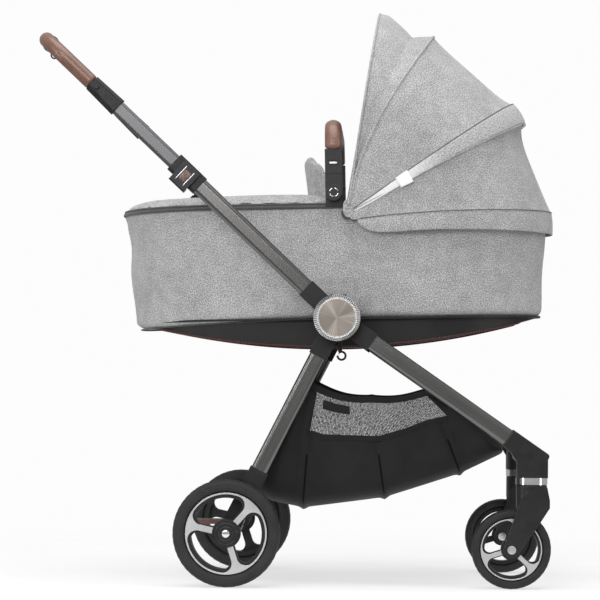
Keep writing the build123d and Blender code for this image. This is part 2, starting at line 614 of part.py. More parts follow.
def rim_brackets():
    """Hood pivot pins and carry handle brackets on the rim, one of each on a side."""
    pin_end = bow_layers[2] + BOW_THICKNESS
    pin = slab(Circle(EYE_RADIUS), *BRACKET, *HOOD_PIVOT)
    pin += slab(Circle(PIN_RADIUS), BRACKET[0], pin_end, *HOOD_PIVOT)
    x, z = CARRY_PIVOT
    outline = Pos(0, 0) * Circle(CARRY_ARM_WIDTH / 2) + Pos(0, -13) * Rectangle(CARRY_ARM_WIDTH, 26)
    ear = slab(outline, COT_HALF + FIT, CARRY_EAR, x, z)
    ear += slab(Circle(PIN_RADIUS + 2), CARRY_EAR, carry_outer, x, z)
    return [s for p in (pin, ear) for s in left_and_right(cot_place * p)]


CARRY_EAR = 209.0
carry_inner = CARRY_EAR + FIT
carry_outer = carry_inner + CARRY_ARM_THICKNESS


def carry_arm():
    """Flat side arm of the carrying handle, from its pivot up to the grip."""
    x, z = CARRY_PIVOT
    rise = CARRY_ARM_TOP - z
    sketch = Circle(CARRY_ARM_WIDTH / 2) + Pos(0, rise / 2) * Rectangle(CARRY_ARM_WIDTH, rise)
    arm = slab(sketch, carry_inner, carry_outer, x, z)
    arm -= slab(Circle(PIN_RADIUS + 2 + RUN), 0, 400, x, z)
    cap = slab(Circle(15), carry_outer + FIT, carry_outer + 4, x, z)
    rim = slab(Circle(15) - Circle(9), carry_outer, carry_outer + 4, x, z)
    return cot_place * (arm + cap + rim)


def carry_grip():
    x, y = CARRY_PIVOT[0], (carry_inner + carry_outer) / 2
    top = CARRY_GRIP_TOP - CARRY_GRIP[1] / 2
    path = FilletPolyline((x, -y, CARRY_ARM_TOP), (x, -y, top), (x, y, top),
                          (x, y, CARRY_ARM_TOP), radius=CARRY_CORNER)
    section = Plane(origin=path @ 0, x_dir=(1, 0, 0), z_dir=path % 0)
    section *= Ellipse(CARRY_GRIP[0] / 2, CARRY_GRIP[1] / 2)
    return cot_place * sweep(section, path=path)


# ---- shopping basket --------------------------------------------------------------------
def basket():
    """Open fabric basket between the legs."""
    wall = 3.0
    half = rear_layer[0] - FIT
    floor = [(-55, -112), (-160, -325), (-125, -345), (-63, -356), (92, -334),
             (235, -288), (314, -250), (312, -236)]
    top = [(160, -122), (62, -147)]
    outer = make_face(Polyline(*floor, *top, close=True))
    inner_floor = [(-51, -100), (-156, -324), (-124, -341.5), (-63, -352.5), (91.5, -330.5),
                   (233.5, -285), (309, -249), (307, -200)]
    inner = make_face(Polyline(*inner_floor, (160, -60), close=True))
    return slab(outer, -half, half) - slab(inner, -half + wall, half - wall)


def build():
    hub()
    legs()
    pair("rear_feet", rear_foot())
    nodes["rear_axle"] = [rear_axle()]
    nodes["brake_pedal"] = [brake_pedal()]
    wheels()
    sides("fork", fork())
    sides("wheel_bolt", wheel_bolt())
    sides("front_elbow", front_elbow())
    pair("swivel_rings", swivel_ring())
    nodes["front_cross_tubes"] = front_cross_tubes()
    pair("cot_sockets", cot_socket())
    nodes["fold_hook"] = [fold_hook()]
    nodes["basket"] = [basket()]
    lower_arms()
    sides("clamp_lever", clamp_lever())
    upper_handle()
    nodes["wrist_strap"] = [wrist_strap()]
    nodes["cot_cover"] = [cot_cover()]
    nodes["cot_tub"] = [cot_tub()]
    nodes["mattress"] = [mattress()]
    nodes["apron"] = [apron()]
    nodes["wind_flap"] = [wind_flap()]
    pair("cot_posts", cot_post())
    hood()
    nodes["rim_brackets"] = rim_brackets()
    pair("carry_arms", carry_arm())
    nodes["carry_grip"] = [carry_grip()]


build()
os.makedirs("parts", exist_ok=True)
for name, shapes in nodes.items():
    solids = [solid for shape in shapes for solid in shape.solids()]
    export_step(Compound(children=solids) if len(solids) > 1 else solids[0], f"parts/{name}.step")
print(len(nodes), "nodes; hub at", round(HUB_X, 2), HUB_HEIGHT)
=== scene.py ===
import bmesh
import bpy
import numpy as np
from math import cos, pi, radians, sin
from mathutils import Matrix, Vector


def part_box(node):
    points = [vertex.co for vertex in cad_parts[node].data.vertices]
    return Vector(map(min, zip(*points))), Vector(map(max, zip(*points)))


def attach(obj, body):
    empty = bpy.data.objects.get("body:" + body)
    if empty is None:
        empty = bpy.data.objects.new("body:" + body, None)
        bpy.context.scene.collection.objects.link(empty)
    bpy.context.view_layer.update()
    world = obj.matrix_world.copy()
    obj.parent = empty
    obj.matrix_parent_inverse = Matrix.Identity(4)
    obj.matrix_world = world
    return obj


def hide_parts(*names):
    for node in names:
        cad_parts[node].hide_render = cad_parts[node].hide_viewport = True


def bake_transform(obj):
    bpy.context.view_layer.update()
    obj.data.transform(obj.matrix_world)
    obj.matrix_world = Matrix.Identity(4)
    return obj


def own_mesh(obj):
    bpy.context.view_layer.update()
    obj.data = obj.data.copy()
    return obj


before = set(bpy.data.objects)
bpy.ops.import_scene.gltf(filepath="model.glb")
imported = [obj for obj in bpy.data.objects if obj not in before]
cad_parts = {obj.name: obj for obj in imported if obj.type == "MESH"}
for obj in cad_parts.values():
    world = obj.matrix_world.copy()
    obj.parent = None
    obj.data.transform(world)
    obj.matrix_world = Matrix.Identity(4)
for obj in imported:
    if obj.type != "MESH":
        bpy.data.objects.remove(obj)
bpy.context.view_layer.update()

# ---- studio ------------------------------------------------------------------------------
# A pale floor, partly glowing so that it stays near white, fades out into a white surround.  One
# wide soft light hangs overhead, one stands in front, and two tall narrow ones at the sides draw
# the long highlights on the tubes.


def node(tree, kind, inputs=None, **settings):
    """A shader node; each input is a value, or another node's output to link."""
    made = tree.nodes.new(kind)
    for key, value in settings.items():
        setattr(made, key, value)
    for key, value in (inputs or {}).items():
        if isinstance(value, bpy.types.NodeSocket):
            tree.links.new(value, made.inputs[key])
        else:
            made.inputs[key].default_value = value
    return made


scene = bpy.context.scene
scene.view_settings.view_transform = "Standard"

world = bpy.data.worlds.new("surround")
scene.world = world
world.use_nodes = True
sky = world.node_tree
sky.nodes.clear()
ray = node(sky, "ShaderNodeTexCoord").outputs["Generated"]
climb = node(sky, "ShaderNodeSeparateXYZ", {0: ray}).outputs["Z"]
height = node(sky, "ShaderNodeMapRange", {"Value": climb, "From Min": -0.3, "From Max": 0.9,
                                          "To Min": 0.34, "To Max": 0.62})
soft = node(sky, "ShaderNodeBackground", {"Color": (1, 1, 1, 1), "Strength": height.outputs[0]})
seen = node(sky, "ShaderNodeBackground", {"Color": (0.98, 0.98, 0.98, 1), "Strength": 1.0})
camera_ray = node(sky, "ShaderNodeLightPath").outputs["Is Camera Ray"]
surround = node(sky, "ShaderNodeMixShader", {0: camera_ray, 1: soft.outputs[0], 2: seen.outputs[0]})
node(sky, "ShaderNodeOutputWorld", {"Surface": surround.outputs[0]})

floor_mesh = bpy.data.meshes.new("floor")
floor_mesh.from_pydata([(-6, -6, 0), (6, -6, 0), (6, 6, 0), (-6, 6, 0)], [], [(0, 1, 2, 3)])
floor = bpy.data.objects.new("floor", floor_mesh)
scene.collection.objects.link(floor)
paper = bpy.data.materials.new("paper_floor")
paper.use_nodes = True
tree = paper.node_tree
tree.nodes.clear()
place = node(tree, "ShaderNodeTexCoord").outputs["Object"]
far = node(tree, "ShaderNodeVectorMath", {0: place}, operation="LENGTH").outputs["Value"]
fade = node(tree, "ShaderNodeMapRange", {"Value": far, "From Min": 0.75, "From Max": 1.7},
            interpolation_type="SMOOTHSTEP").outputs[0]
tone = node(tree, "ShaderNodeTexNoise", {"Vector": place, "Scale": 3.0, "Detail": 4.0}).outputs["Fac"]
tone = node(tree, "ShaderNodeMapRange", {"Value": tone, "To Min": 0.86, "To Max": 0.92}).outputs[0]
matt = node(tree, "ShaderNodeBsdfDiffuse", {"Color": tone})
glow = node(tree, "ShaderNodeEmission", {"Color": tone, "Strength": 1.14})
lit = node(tree, "ShaderNodeMixShader", {0: 0.6, 1: matt.outputs[0], 2: glow.outputs[0]})
clear = node(tree, "ShaderNodeBsdfTransparent")
mixed = node(tree, "ShaderNodeMixShader", {0: fade, 1: lit.outputs[0], 2: clear.outputs[0]})
node(tree, "ShaderNodeOutputMaterial", {"Surface": mixed.outputs[0]})
floor_mesh.materials.append(paper)


def soft_light(name, place, turn, size, power):
    """A rectangular light of that size in metres, turned by those degrees."""
    data = bpy.data.lights.new(name, "AREA")
    data.shape = "RECTANGLE"
    data.size, data.size_y = size
    data.energy = power
    light = bpy.data.objects.new(name, data)
    light.location = place
    light.rotation_euler = [radians(a) for a in turn]
    scene.collection.objects.link(light)


soft_light("overhead", (0.1, -0.6, 3.0), (8, 0, 0), (2.6, 2.2), 52)
soft_light("front", (-0.9, -3.6, 1.9), (66, 0, -14), (2.2, 1.6), 62)
soft_light("strip_left", (-2.6, -1.6, 1.0), (86, 0, -62), (0.35, 2.2), 18)
soft_light("strip_right", (2.7, -1.2, 1.0), (86, 0, 68), (0.35, 2.2), 18)

lens = bpy.data.cameras.new("camera")
lens.sensor_width, lens.lens = 36.0, 169.4
lens.clip_start, lens.clip_end = 0.1, 60.0
camera = bpy.data.objects.new("camera", lens)
camera.location = (0.17966, -5.5, 0.396)
camera.rotation_euler = (radians(91.502), radians(-0.600), radians(1.825))
scene.collection.objects.link(camera)
scene.camera = camera

# ---- chassis tubes -----------------------------------------------------------------------
# The legs and the lower half of each push arm are oval aluminium tube, anodised dark grey; the
# upper arms that slide in them are plain satin aluminium.  Drawing the tube through its die
# leaves fine lines that run along it.
FRONT_LEG, REAR_LEG, PUSH_ARM = -34.5, 243.4, 136.8     # degrees up from forward


def shader(name, colour, roughness, metallic=0.0, **values):
    """A material: its node tree, its Principled shader and its Object coordinates."""
    material = bpy.data.materials.new(name)
    material.use_nodes = True
    tree = material.node_tree
    skin = tree.nodes["Principled BSDF"]
    skin.inputs["Base Color"].default_value = (*colour, 1)
    skin.inputs["Roughness"].default_value = roughness
    skin.inputs["Metallic"].default_value = metallic
    for key, value in values.items():
        skin.inputs[key.replace("_", " ")].default_value = value
    return material, tree, skin, node(tree, "ShaderNodeTexCoord").outputs["Object"]


def grey(value):
    """A colour without a tint."""
    return value, value, value


def own_uv(tree):
    """The coordinates that lie in the cloth itself, in metres."""
    return node(tree, "ShaderNodeTexCoord").outputs["UV"]


def maths(tree, operation, *values):
    """One step of arithmetic on numbers or patterns."""
    return node(tree, "ShaderNodeMath", dict(enumerate(values)), operation=operation).outputs[0]


def paint(tree, skin, colour):
    """A pattern of colour joined to the shader."""
    tree.links.new(colour, skin.inputs["Base Color"])


def polish(tree, skin, roughness):
    """A pattern of roughness joined to the shader."""
    tree.links.new(roughness, skin.inputs["Roughness"])


def spread(tree, value, low, high, from_low=0.3, from_high=0.7):
    """A pattern's value carried from one range to another, held at its ends."""
    inputs = {"Value": value, "From Min": from_low, "From Max": from_high, "To Min": low,
              "To Max": high}
    return node(tree, "ShaderNodeMapRange", inputs).outputs[0]


def noise(tree, place, scale, detail=2.0, roughness=0.5):
    """A pattern of random clouds from 0 to 1, scale of them to a metre."""
    inputs = {"Vector": place, "Scale": scale, "Detail": detail, "Roughness": roughness}
    return node(tree, "ShaderNodeTexNoise", inputs).outputs["Fac"]


def two_tone(tree, share, first, second):
    """A colour between two, by a share from 0 to 1."""
    mix = node(tree, "ShaderNodeMix", {"Factor": share}, data_type="RGBA")
    for socket, colour in ((mix.inputs[6], first), (mix.inputs[7], second)):
        if isinstance(colour, bpy.types.NodeSocket):
            tree.links.new(colour, socket)
        else:
            socket.default_value = (*colour, 1)
    return mix.outputs[2]


def bump(tree, skin, heights, distance, strength=1.0, normal=None):
    """Relief of that many metres from a pattern, joined to the shader."""
    inputs = {"Height": heights, "Distance": distance, "Strength": strength}
    if normal is not None:
        inputs["Normal"] = normal
    relief = node(tree, "ShaderNodeBump", inputs)
    tree.links.new(relief.outputs[0], skin.inputs["Normal"])
    return relief.outputs[0]


def drawn_tube(name, dark, light, roughness, angle, metallic=1.0):
    """Metal with die lines along the tube: noise stretched a hundred times along its axis."""
    material, tree, skin, place = shader(name, light, roughness, metallic)
    turned = node(tree, "ShaderNodeMapping", {"Vector": place, "Rotation": (0, radians(angle), 0)}).outputs[0]
    along = node(tree, "ShaderNodeMapping", {"Vector": turned, "Scale": (5, 1500, 1500)}).outputs[0]
    lines = noise(tree, along, 1.0, 2.0, 0.5)
    cloud = noise(tree, place, 9.0, 3.0)
    paint(tree, skin, two_tone(tree, spread(tree, lines, 0, 1), dark, light))
    both = maths(tree, "ADD", lines, cloud)
    polish(tree, skin, spread(tree, both, roughness - 0.03, roughness + 0.04, 0.7, 1.3))
    bump(tree, skin, lines, 0.000002, 0.4)
    return material


def dress(material, *names):
    """Put a material on every slot of some CAD nodes."""
    for name in names:
        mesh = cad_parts[name].data
        mesh.materials.clear()
        mesh.materials.append(material)


GUNMETAL = ((0.152, 0.15, 0.148), (0.178, 0.175, 0.172))
dress(drawn_tube("anodised_front_leg", *GUNMETAL, 0.24, FRONT_LEG), "front_legs")
dress(drawn_tube("anodised_rear_leg", *GUNMETAL, 0.24, REAR_LEG), "rear_legs")
dress(drawn_tube("anodised_push_arm", *GUNMETAL, 0.24, PUSH_ARM), "lower_arms")
SATIN = ((0.118, 0.118, 0.121), (0.134, 0.134, 0.137))
dress(drawn_tube("satin_upper_arm", *SATIN, 0.36, PUSH_ARM), "upper_arms")
cross_tube = drawn_tube("black_cross_tube", (0.012, 0.012, 0.013), (0.02, 0.02, 0.021), 0.36, 90, 0.4)
dress(cross_tube, "front_cross_tubes", "handlebar")

# ---- moulded plastic ---------------------------------------------------------------------
# Collars, feet, forks, elbows, clamps and brackets are black glass-filled nylon with a fine spark-eroded
# grain.  Their corners are rounded and painted paler: partly rubbed wear, partly a painted highlight along
# the rounded edge.


def moulded(name, colour, roughness, grain=1500.0, rub_and_highlight=0.10):
    """Grained plastic whose corners, where a rounded normal leaves the flat one, are painted paler, as rubbed
    wear and as a painted highlight along the edge.
    """
    material, tree, skin, place = shader(name, colour, roughness, Specular_IOR_Level=0.32)
    patches = noise(tree, place, 45.0, 4.0)
    rounded = node(tree, "ShaderNodeBevel", {"Radius": 0.0011}, samples=4).outputs[0]
    flat = node(tree, "ShaderNodeNewGeometry").outputs["Normal"]
    same = node(tree, "ShaderNodeVectorMath", {0: rounded, 1: flat},
                operation="DOT_PRODUCT").outputs["Value"]
    corner = spread(tree, same, 1.0, 0.0, 0.72, 0.985)
    # Corners painted paler: rubbed wear, and a painted highlight along the rounded edge.
    worn = maths(tree, "MULTIPLY", corner, spread(tree, patches, 0.2, 1.0))
    darker, lighter = [c * 0.86 for c in colour], [c * 1.16 for c in colour]
    plain = two_tone(tree, spread(tree, patches, 0, 1), darker, lighter)
    pale = [c + rub_and_highlight for c in colour]
    paint(tree, skin, two_tone(tree, worn, plain, pale))
    polish(tree, skin, spread(tree, patches, roughness - 0.06, roughness + 0.07))
    bump(tree, skin, noise(tree, place, grain, 2.0), 0.00009, 0.55, rounded)
    return material


black_plastic = moulded("black_nylon", (0.010, 0.010, 0.011), 0.42, 1500.0, 0.08)
dress(black_plastic, "front_hub_plates", "rear_hub_plates", "arm_hub_plates", "rear_feet", "cot_sockets",
      "cot_posts", "rim_brackets", "clamp_bodies", "handle_collars")
dress(moulded("fork_nylon", (0.012, 0.012, 0.013), 0.36, 1100.0, 0.16), "fork_left", "fork_right",
      "front_elbow_left", "front_elbow_right")
dress(moulded("lever_nylon", (0.012, 0.012, 0.013), 0.33, 1800.0, 0.34), "clamp_lever_left",
      "clamp_lever_right")
dress(moulded("hook_nylon", (0.016, 0.015, 0.015), 0.4), "fold_hook")
dress(moulded("pedal_nylon", (0.11, 0.05, 0.045), 0.42, 900.0, 0.10), "brake_pedal")

# ---- hub ---------------------------------------------------------------------------------
# A spun aluminium disc covers the fold axis on each side.  A bright turned lip and a knurled chrome ring
# frame it; turning leaves fine rings, and the narrow wedges of light that they throw are painted into the
# disc's colour as a painted highlight.
hub_low, hub_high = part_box("hub_rings")
HUB = ((hub_low.x + hub_high.x) / 2, 0.0, (hub_low.z + hub_high.z) / 2)


def round_axis(tree, place, centre):
    """The place in polar terms about an axis along Y: distance, its unit direction and angle."""
    local = node(tree, "ShaderNodeMapping", {"Vector": place, "Location": [-c for c in centre],
                                             "Scale": (1, 0, 1)}).outputs[0]
    distance = node(tree, "ShaderNodeVectorMath", {0: local}, operation="LENGTH").outputs["Value"]
    unit = node(tree, "ShaderNodeVectorMath", {0: local}, operation="NORMALIZE").outputs["Vector"]
    parts = node(tree, "ShaderNodeSeparateXYZ", {0: local}).outputs
    angle = maths(tree, "ARCTAN2", parts["Z"], parts["X"])
    return distance, unit, angle


def wave_of(tree, value, frequency):
    """The sine of a value times a frequency."""
    return maths(tree, "SINE", maths(tree, "MULTIPLY", value, frequency))


material, tree, skin, place = shader("spun_disc", (0.5, 0.46, 0.42), 0.3, 1.0)
distance, unit, angle = round_axis(tree, place, HUB)
# Broad wedges over fine radial hairlines are painted into the disc's colour: the wedges are a painted
# highlight, the hairlines are the brushing.
painted_wedges = noise(tree, unit, 1.55, 1.0)
hairs = noise(tree, unit, 38.0, 2.0)
painted_sheen = maths(tree, "MULTIPLY_ADD", painted_wedges, hairs, maths(tree, "MULTIPLY", hairs, 0.18))
disc_colour = two_tone(tree, spread(tree, painted_sheen, 0, 1, 0.36, 0.64), (0.30, 0.265, 0.235),
                       (0.78, 0.73, 0.67))
paint(tree, skin, disc_colour)
bump(tree, skin, wave_of(tree, distance, 9000.0), 0.00002, 0.5)
dress(material, "hub_discs")

material, tree, skin, place = shader("knurled_ring", grey(0.6), 0.22, 1.0)
distance, unit, angle = round_axis(tree, place, HUB)
lip = spread(tree, distance, 1.0, 0.0, 0.0366, 0.0374)
ridges = wave_of(tree, angle, 72.0)
# The knurl is painted dark in its grooves and pale on its ridges: painted shade and painted highlight.
knurl_painted_shade = two_tone(tree, spread(tree, ridges, 0, 1, -0.8, 0.8), grey(0.10), grey(0.42))
paint(tree, skin, two_tone(tree, lip, knurl_painted_shade, (0.93, 0.93, 0.92)))
raised = maths(tree, "MULTIPLY", ridges, maths(tree, "SUBTRACT", 1.0, lip))
bump(tree, skin, raised, 0.0005, 0.8)
dress(material, "hub_rings")


def plated(name, colour, roughness):
    """Chrome or zinc plate: faint hairlines in every direction and a little haze."""
    material, tree, skin, place = shader(name, colour, roughness, 1.0)
    haze = noise(tree, place, 120.0, 4.0)
    polish(tree, skin, spread(tree, haze, roughness * 0.6, roughness * 1.5))
    tone = two_tone(tree, spread(tree, haze, 0, 1), [c * 0.9 for c in colour], colour)
    paint(tree, skin, tone)
    bump(tree, skin, noise(tree, place, 900.0, 2.0), 0.00002, 0.4)
    return material


chrome = plated("chrome_plate", (0.86, 0.86, 0.87), 0.10)
steel = plated("zinc_plate", (0.62, 0.62, 0.63), 0.26)
dress(chrome, "swivel_rings", "wheel_bolt_left", "wheel_bolt_right")
dress(steel, "rear_axle", "hub_shafts")

# ---- wheels ------------------------------------------------------------------------------
# Each wheel is a black nylon body with a satin silver face of a ring and three flaring spokes.
# The tyre is soft rubber, moulded with fine rings on its sides and small blocks on its tread.
satin, tree, skin, place = shader("silver_paint", (0.56, 0.56, 0.565), 0.33, 0.85)
flake = noise(tree, place, 2600.0, 1.0)
patch = noise(tree, place, 30.0, 3.0)
paint(tree, skin, two_tone(tree, spread(tree, flake, 0, 1), (0.47, 0.47, 0.475), (0.66, 0.66, 0.665)))
polish(tree, skin, spread(tree, patch, 0.27, 0.42))
rounded = node(tree, "ShaderNodeBevel", {"Radius": 0.0008}, samples=4).outputs[0]
bump(tree, skin, flake, 0.00002, 0.5, rounded)
dress(satin, "rear_trim_left", "rear_trim_right", "front_trim_left", "front_trim_right")
rim_plastic = moulded("rim_nylon", (0.009, 0.009, 0.0095), 0.38, 1500.0, 0.05)
dress(rim_plastic, "rear_rim_left", "rear_rim_right", "front_rim_left", "front_rim_right")
dress(moulded("cap_nylon", (0.012, 0.012, 0.013), 0.26, 1500.0, 0.2), "rear_hub_cap_left",
      "rear_hub_cap_right")


def piece(name, points, faces, corners=None, materials=(), which=None):
    """An object from points in millimetres: doubled points are merged, which closes seams and
    poles, its faces are turned outwards, and it is shaded smooth.  corners holds the cloth or
    rubber's own coordinates, in metres, one pair for each corner of each face."""
    mesh = bpy.data.meshes.new(name)
    mesh.from_pydata((np.reshape(points, (-1, 3)) * 0.001).tolist(), [], faces)
    if corners is not None:
        mesh.uv_layers.new(name="surface").data.foreach_set("uv", np.ravel(corners).astype(np.float32))
    for material in materials:
        mesh.materials.append(material)
    if which is not None:
        mesh.polygons.foreach_set("material_index", np.ravel(which).astype(np.int32))
    work = bmesh.new()
    work.from_mesh(mesh)
    bmesh.ops.remove_doubles(work, verts=work.verts, dist=2e-6)
    bmesh.ops.recalc_face_normals(work, faces=work.faces)
    work.to_mesh(mesh)
    work.free()
    mesh.shade_smooth()
    made = bpy.data.objects.new(name, mesh)
    scene.collection.objects.link(made)
    return made


def lattice(points, wrap_rows=False, wrap_columns=False):
    """Four-sided faces over a grid of points, and the row and column of each of their corners."""
    rows, columns = points.shape[:2]
    i, j = np.meshgrid(np.arange(rows - (not wrap_rows)), np.arange(columns - (not wrap_columns)),
                       indexing="ij")
    row = np.stack([i, i + 1, i + 1, i], -1).reshape(-1, 4)
    column = np.stack([j, j, j + 1, j + 1], -1).reshape(-1, 4)
    return (row % rows) * columns + column % columns, row, column


def tyre(name, centre, radius, width, depth, blocks):
    """Rubber ring.  Its section is a superellipse of power 3, width by depth; five shallow rings
    are cut into each side, and on the tread the radius drops in a wave of blocks that slants
    one way on the left half and the other way on the right."""
    turn = np.linspace(0, 2 * pi, blocks * 6, endpoint=False)[:, None]
    t = np.linspace(0, 2 * pi, 88, endpoint=False)[None, :]
    c, s = np.cos(t), np.sin(t)
    across = np.sign(c) * np.abs(c) ** (2 / 3)
    out = np.sign(s) * np.abs(s) ** (2 / 3)
    side = np.abs(across) ** 6
    rings = 0.5 - 0.5 * np.cos(2 * pi * 3.5 * np.clip(out + 0.55, 0, 1.6))
    cut = 0.7 * rings * side * (out > -0.55) * (out < 0.7)
    tread = np.clip(out * 4 - 3, 0, 1)
    slant = np.sin(blocks * turn + 5.0 * np.abs(across))
    grooves = 0.9 * tread * np.clip(slant * 3 - 1.2, 0, 1)
    centre_groove = tread * np.exp(-(np.abs(across) - 0.3) ** 2 / 0.003)
    y = across * (width / 2 - cut) + 0 * turn
    r = radius - depth / 2 + out * depth / 2 - grooves - centre_groove
    x = centre[0] + r * np.cos(turn)
    z = centre[2] + r * np.sin(turn)
    points = np.stack([x, centre[1] + y, z], -1)
    faces, row, column = lattice(points, True, True)
    around = row * (2 * pi * radius * 0.001 / len(turn))
    over = column * (2 * (width + depth) * 0.001 / t.size)
    return piece(name, points, faces.tolist(), np.stack([around, over], -1), [rubber])


rubber, tree, skin, place = shader("tyre_rubber", (0.02, 0.02, 0.021), 0.6, Specular_IOR_Level=0.3)
dust = noise(tree, place, 28.0, 6.0, 0.65)
pores = noise(tree, place, 700.0, 2.0)
dusty = spread(tree, dust, 0, 1, 0.35, 0.75)
paint(tree, skin, two_tone(tree, dusty, (0.013, 0.013, 0.014), (0.03, 0.03, 0.0295)))
polish(tree, skin, spread(tree, dust, 0.52, 0.78))
bump(tree, skin, pores, 0.00010, 0.6)

TYRES = {"rear": (100.0, 42.0, 24.3, 46), "front": (74.0, 36.0, 17.0, 38)}
for axle, (radius, width, depth, blocks) in TYRES.items():
    for side in ("left", "right"):
        low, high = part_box(f"{axle}_tyre_{side}")
        middle = [(a + b) * 500 for a, b in zip(low, high)]
        made = tyre(f"{axle}_tyre_rubber_{side}", middle, radius, width, depth, blocks)
        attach(made, f"{axle}_wheel_{side}")
        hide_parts(f"{axle}_tyre_{side}")

# ---- leather grips -----------------------------------------------------------------------
# Brown leather is wrapped round the push bar and round the carrying handle, drawn tight and
# closed with a row of pale thread on the inside of each bend.
HANDLE_HALF, HANDLE_START, HANDLE_REACH, HANDLE_CORNER = 273.0, 631.0, 758.0, 62.0
HUB_MM = (HUB[0] * 1000, HUB[2] * 1000)
HUB_POINT = np.array([HUB_MM[0], 0, HUB_MM[1]])


def bent_bar(half, start, reach, corner, step=3.0):
    """A U in a plane, as across and outward distances: up one side, round a quarter circle,
    over to the middle, and the mirror image of that, at even steps along its length."""
    rise, bend = reach - corner - start, corner * pi / 2
    whole = 2 * (rise + bend + half - corner)
    s = np.linspace(0, whole, int(whole / step) | 1)
    d = np.minimum(s, whole - s)
    a = np.clip((d - rise) / corner, 0, pi / 2)
    across = half - corner + corner * np.cos(a) - np.clip(d - rise - bend, 0, None)
    out = np.minimum(d, rise) + start + corner * np.sin(a)
    return np.where(s <= whole / 2, -across, across), out


def sleeve(path, binormal, wide, deep, sides=28, end=8.0, seam=0.0):
    """A tube along a planar path.  Each ring is an ellipse, wide along the plane's normal and
    deep in the plane; over the last millimetres at both ends it shrinks on a quarter circle.
    Seam raises a low ridge along the inside of the bend."""
    binormal = np.array(binormal, float)
    t = np.gradient(path, axis=0)
    t /= np.linalg.norm(t, axis=1, keepdims=True)
    n = np.cross(binormal, t)
    length = np.concatenate([[0], np.cumsum(np.linalg.norm(np.diff(path, axis=0), axis=1))])
    d = np.minimum(length, length[-1] - length)
    swell = np.sqrt(np.clip(1 - (1 - np.clip(d / end, 0, 1)) ** 2, 0.0, 1))[:, None]
    phi = np.linspace(0, 2 * pi, sides, endpoint=False)[None, :]
    ridge = 1 + seam * np.exp(-((phi - pi / 2) / 0.16) ** 2)
    a, b = wide * swell * np.cos(phi) * ridge, deep * swell * np.sin(phi) * ridge
    points = path[:, None, :] + a[..., None] * binormal + b[..., None] * n[:, None, :]
    faces, row, column = lattice(points, False, True)
    corners = np.stack([column * (2 * pi * (wide + deep) / 2 / sides), length[row]], -1) * 0.001
    return points, faces, corners


STITCH_LENGTH, STITCH_RADIUS = 4.2, 0.75


def stitches(name, line, normal, sunk, shift, body):
    """A row of threads along a bent bar's middle line, sunk towards the inside of the bend and
    shifted off its plane.  Each is a small spindle: a circle of six carried over five stations,
    whose radius follows a half sine."""
    along = np.gradient(line, axis=0)
    along /= np.linalg.norm(along, axis=1, keepdims=True)
    out = np.cross(normal, along)
    places = line + out * sunk + normal * shift
    u = np.linspace(0, pi, 5)[None, :, None]
    v = np.linspace(0, 2 * pi, 6, endpoint=False)[None, None, :]
    side = np.cross(along, out)
    shape = (-np.cos(u) * STITCH_LENGTH / 2)[..., None] * along[:, None, None, :]
    girth = STITCH_RADIUS * np.sin(u)
    shape = shape + (girth * np.cos(v))[..., None] * side[:, None, None, :]
    shape = shape + (girth * np.sin(v))[..., None] * out[:, None, None, :]
    points = places[:, None, None, :] + shape
    one, _, _ = lattice(points[0], False, True)
    faces = (one[None] + (np.arange(len(places)) * 30)[:, None, None]).reshape(-1, 4)
    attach(piece(name, points, faces.tolist(), None, [thread]), body)


leather, tree, skin, place = shader("brown_leather", (0.2, 0.095, 0.06), 0.36, Coat_Weight=0.35,
                                    Coat_Roughness=0.28)
cells = node(tree, "ShaderNodeTexVoronoi", {"Vector": place, "Scale": 950.0},
             feature="DISTANCE_TO_EDGE").outputs[0]
creases = noise(tree, place, 420.0, 5.0, 0.7)
handled = noise(tree, place, 32.0, 4.0)
hide = two_tone(tree, spread(tree, handled, 0, 1), (0.145, 0.066, 0.042), (0.225, 0.108, 0.070))
pit = spread(tree, cells, 0.0, 1.0, 0.0, 0.16)
paint(tree, skin, two_tone(tree, pit, (0.11, 0.05, 0.033), hide))
polish(tree, skin, spread(tree, handled, 0.30, 0.44))
bump(tree, skin, maths(tree, "ADD", pit, creases), 0.00004, 0.5)
thread, tree, skin, place = shader("waxed_thread", (0.33, 0.22, 0.16), 0.6)
twist = noise(tree, place, 2200.0, 1.0)
paint(tree, skin, two_tone(tree, twist, (0.24, 0.15, 0.1), (0.42, 0.3, 0.22)))

arm = radians(PUSH_ARM)
ARM_DIRECTION = np.array([cos(arm), 0, sin(arm)])
ARM_NORMAL = np.array([-sin(arm), 0, cos(arm)])


def on_arm(points):
    """Coordinates along the arm, to the left and square to both, made the stroller's."""
    x, y, z = np.moveaxis(points, -1, 0)
    return HUB_POINT + x[..., None] * ARM_DIRECTION + y[..., None] * np.array([0, 1.0, 0]) \
        + z[..., None] * ARM_NORMAL


across, out = bent_bar(HANDLE_HALF, HANDLE_START - 2, HANDLE_REACH, HANDLE_CORNER)
path = on_arm(np.stack([out, across, 0 * out], -1))
points, faces, corners = sleeve(path, ARM_NORMAL, 14.2, 14.2, 32, 6.0, 0.035)
grip = piece("push_bar_leather", points, faces.tolist(), corners, [leather])
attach(grip, "handle_upper")
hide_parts("handle_grip")

across, out = bent_bar(HANDLE_HALF, HANDLE_START + 8, HANDLE_REACH, HANDLE_CORNER, 6.5)
inner = on_arm(np.stack([out, across, 0 * out], -1))
for label, shift in (("upper", 3.0), ("lower", -3.0)):
    stitches(f"push_bar_stitches_{label}", inner, ARM_NORMAL, 13.9, shift, "handle_upper")

COT_TILT = radians(1.5)


def cot(points):
    """Carrycot coordinates made the stroller's: turned 1.5 degrees, head end up, on the hub."""
    x, y, z = np.moveaxis(np.asarray(points, float), -1, 0)
    return np.stack([HUB_MM[0] + x * cos(COT_TILT) - z * sin(COT_TILT), y,
                     HUB_MM[1] + x * sin(COT_TILT) + z * cos(COT_TILT)], -1)


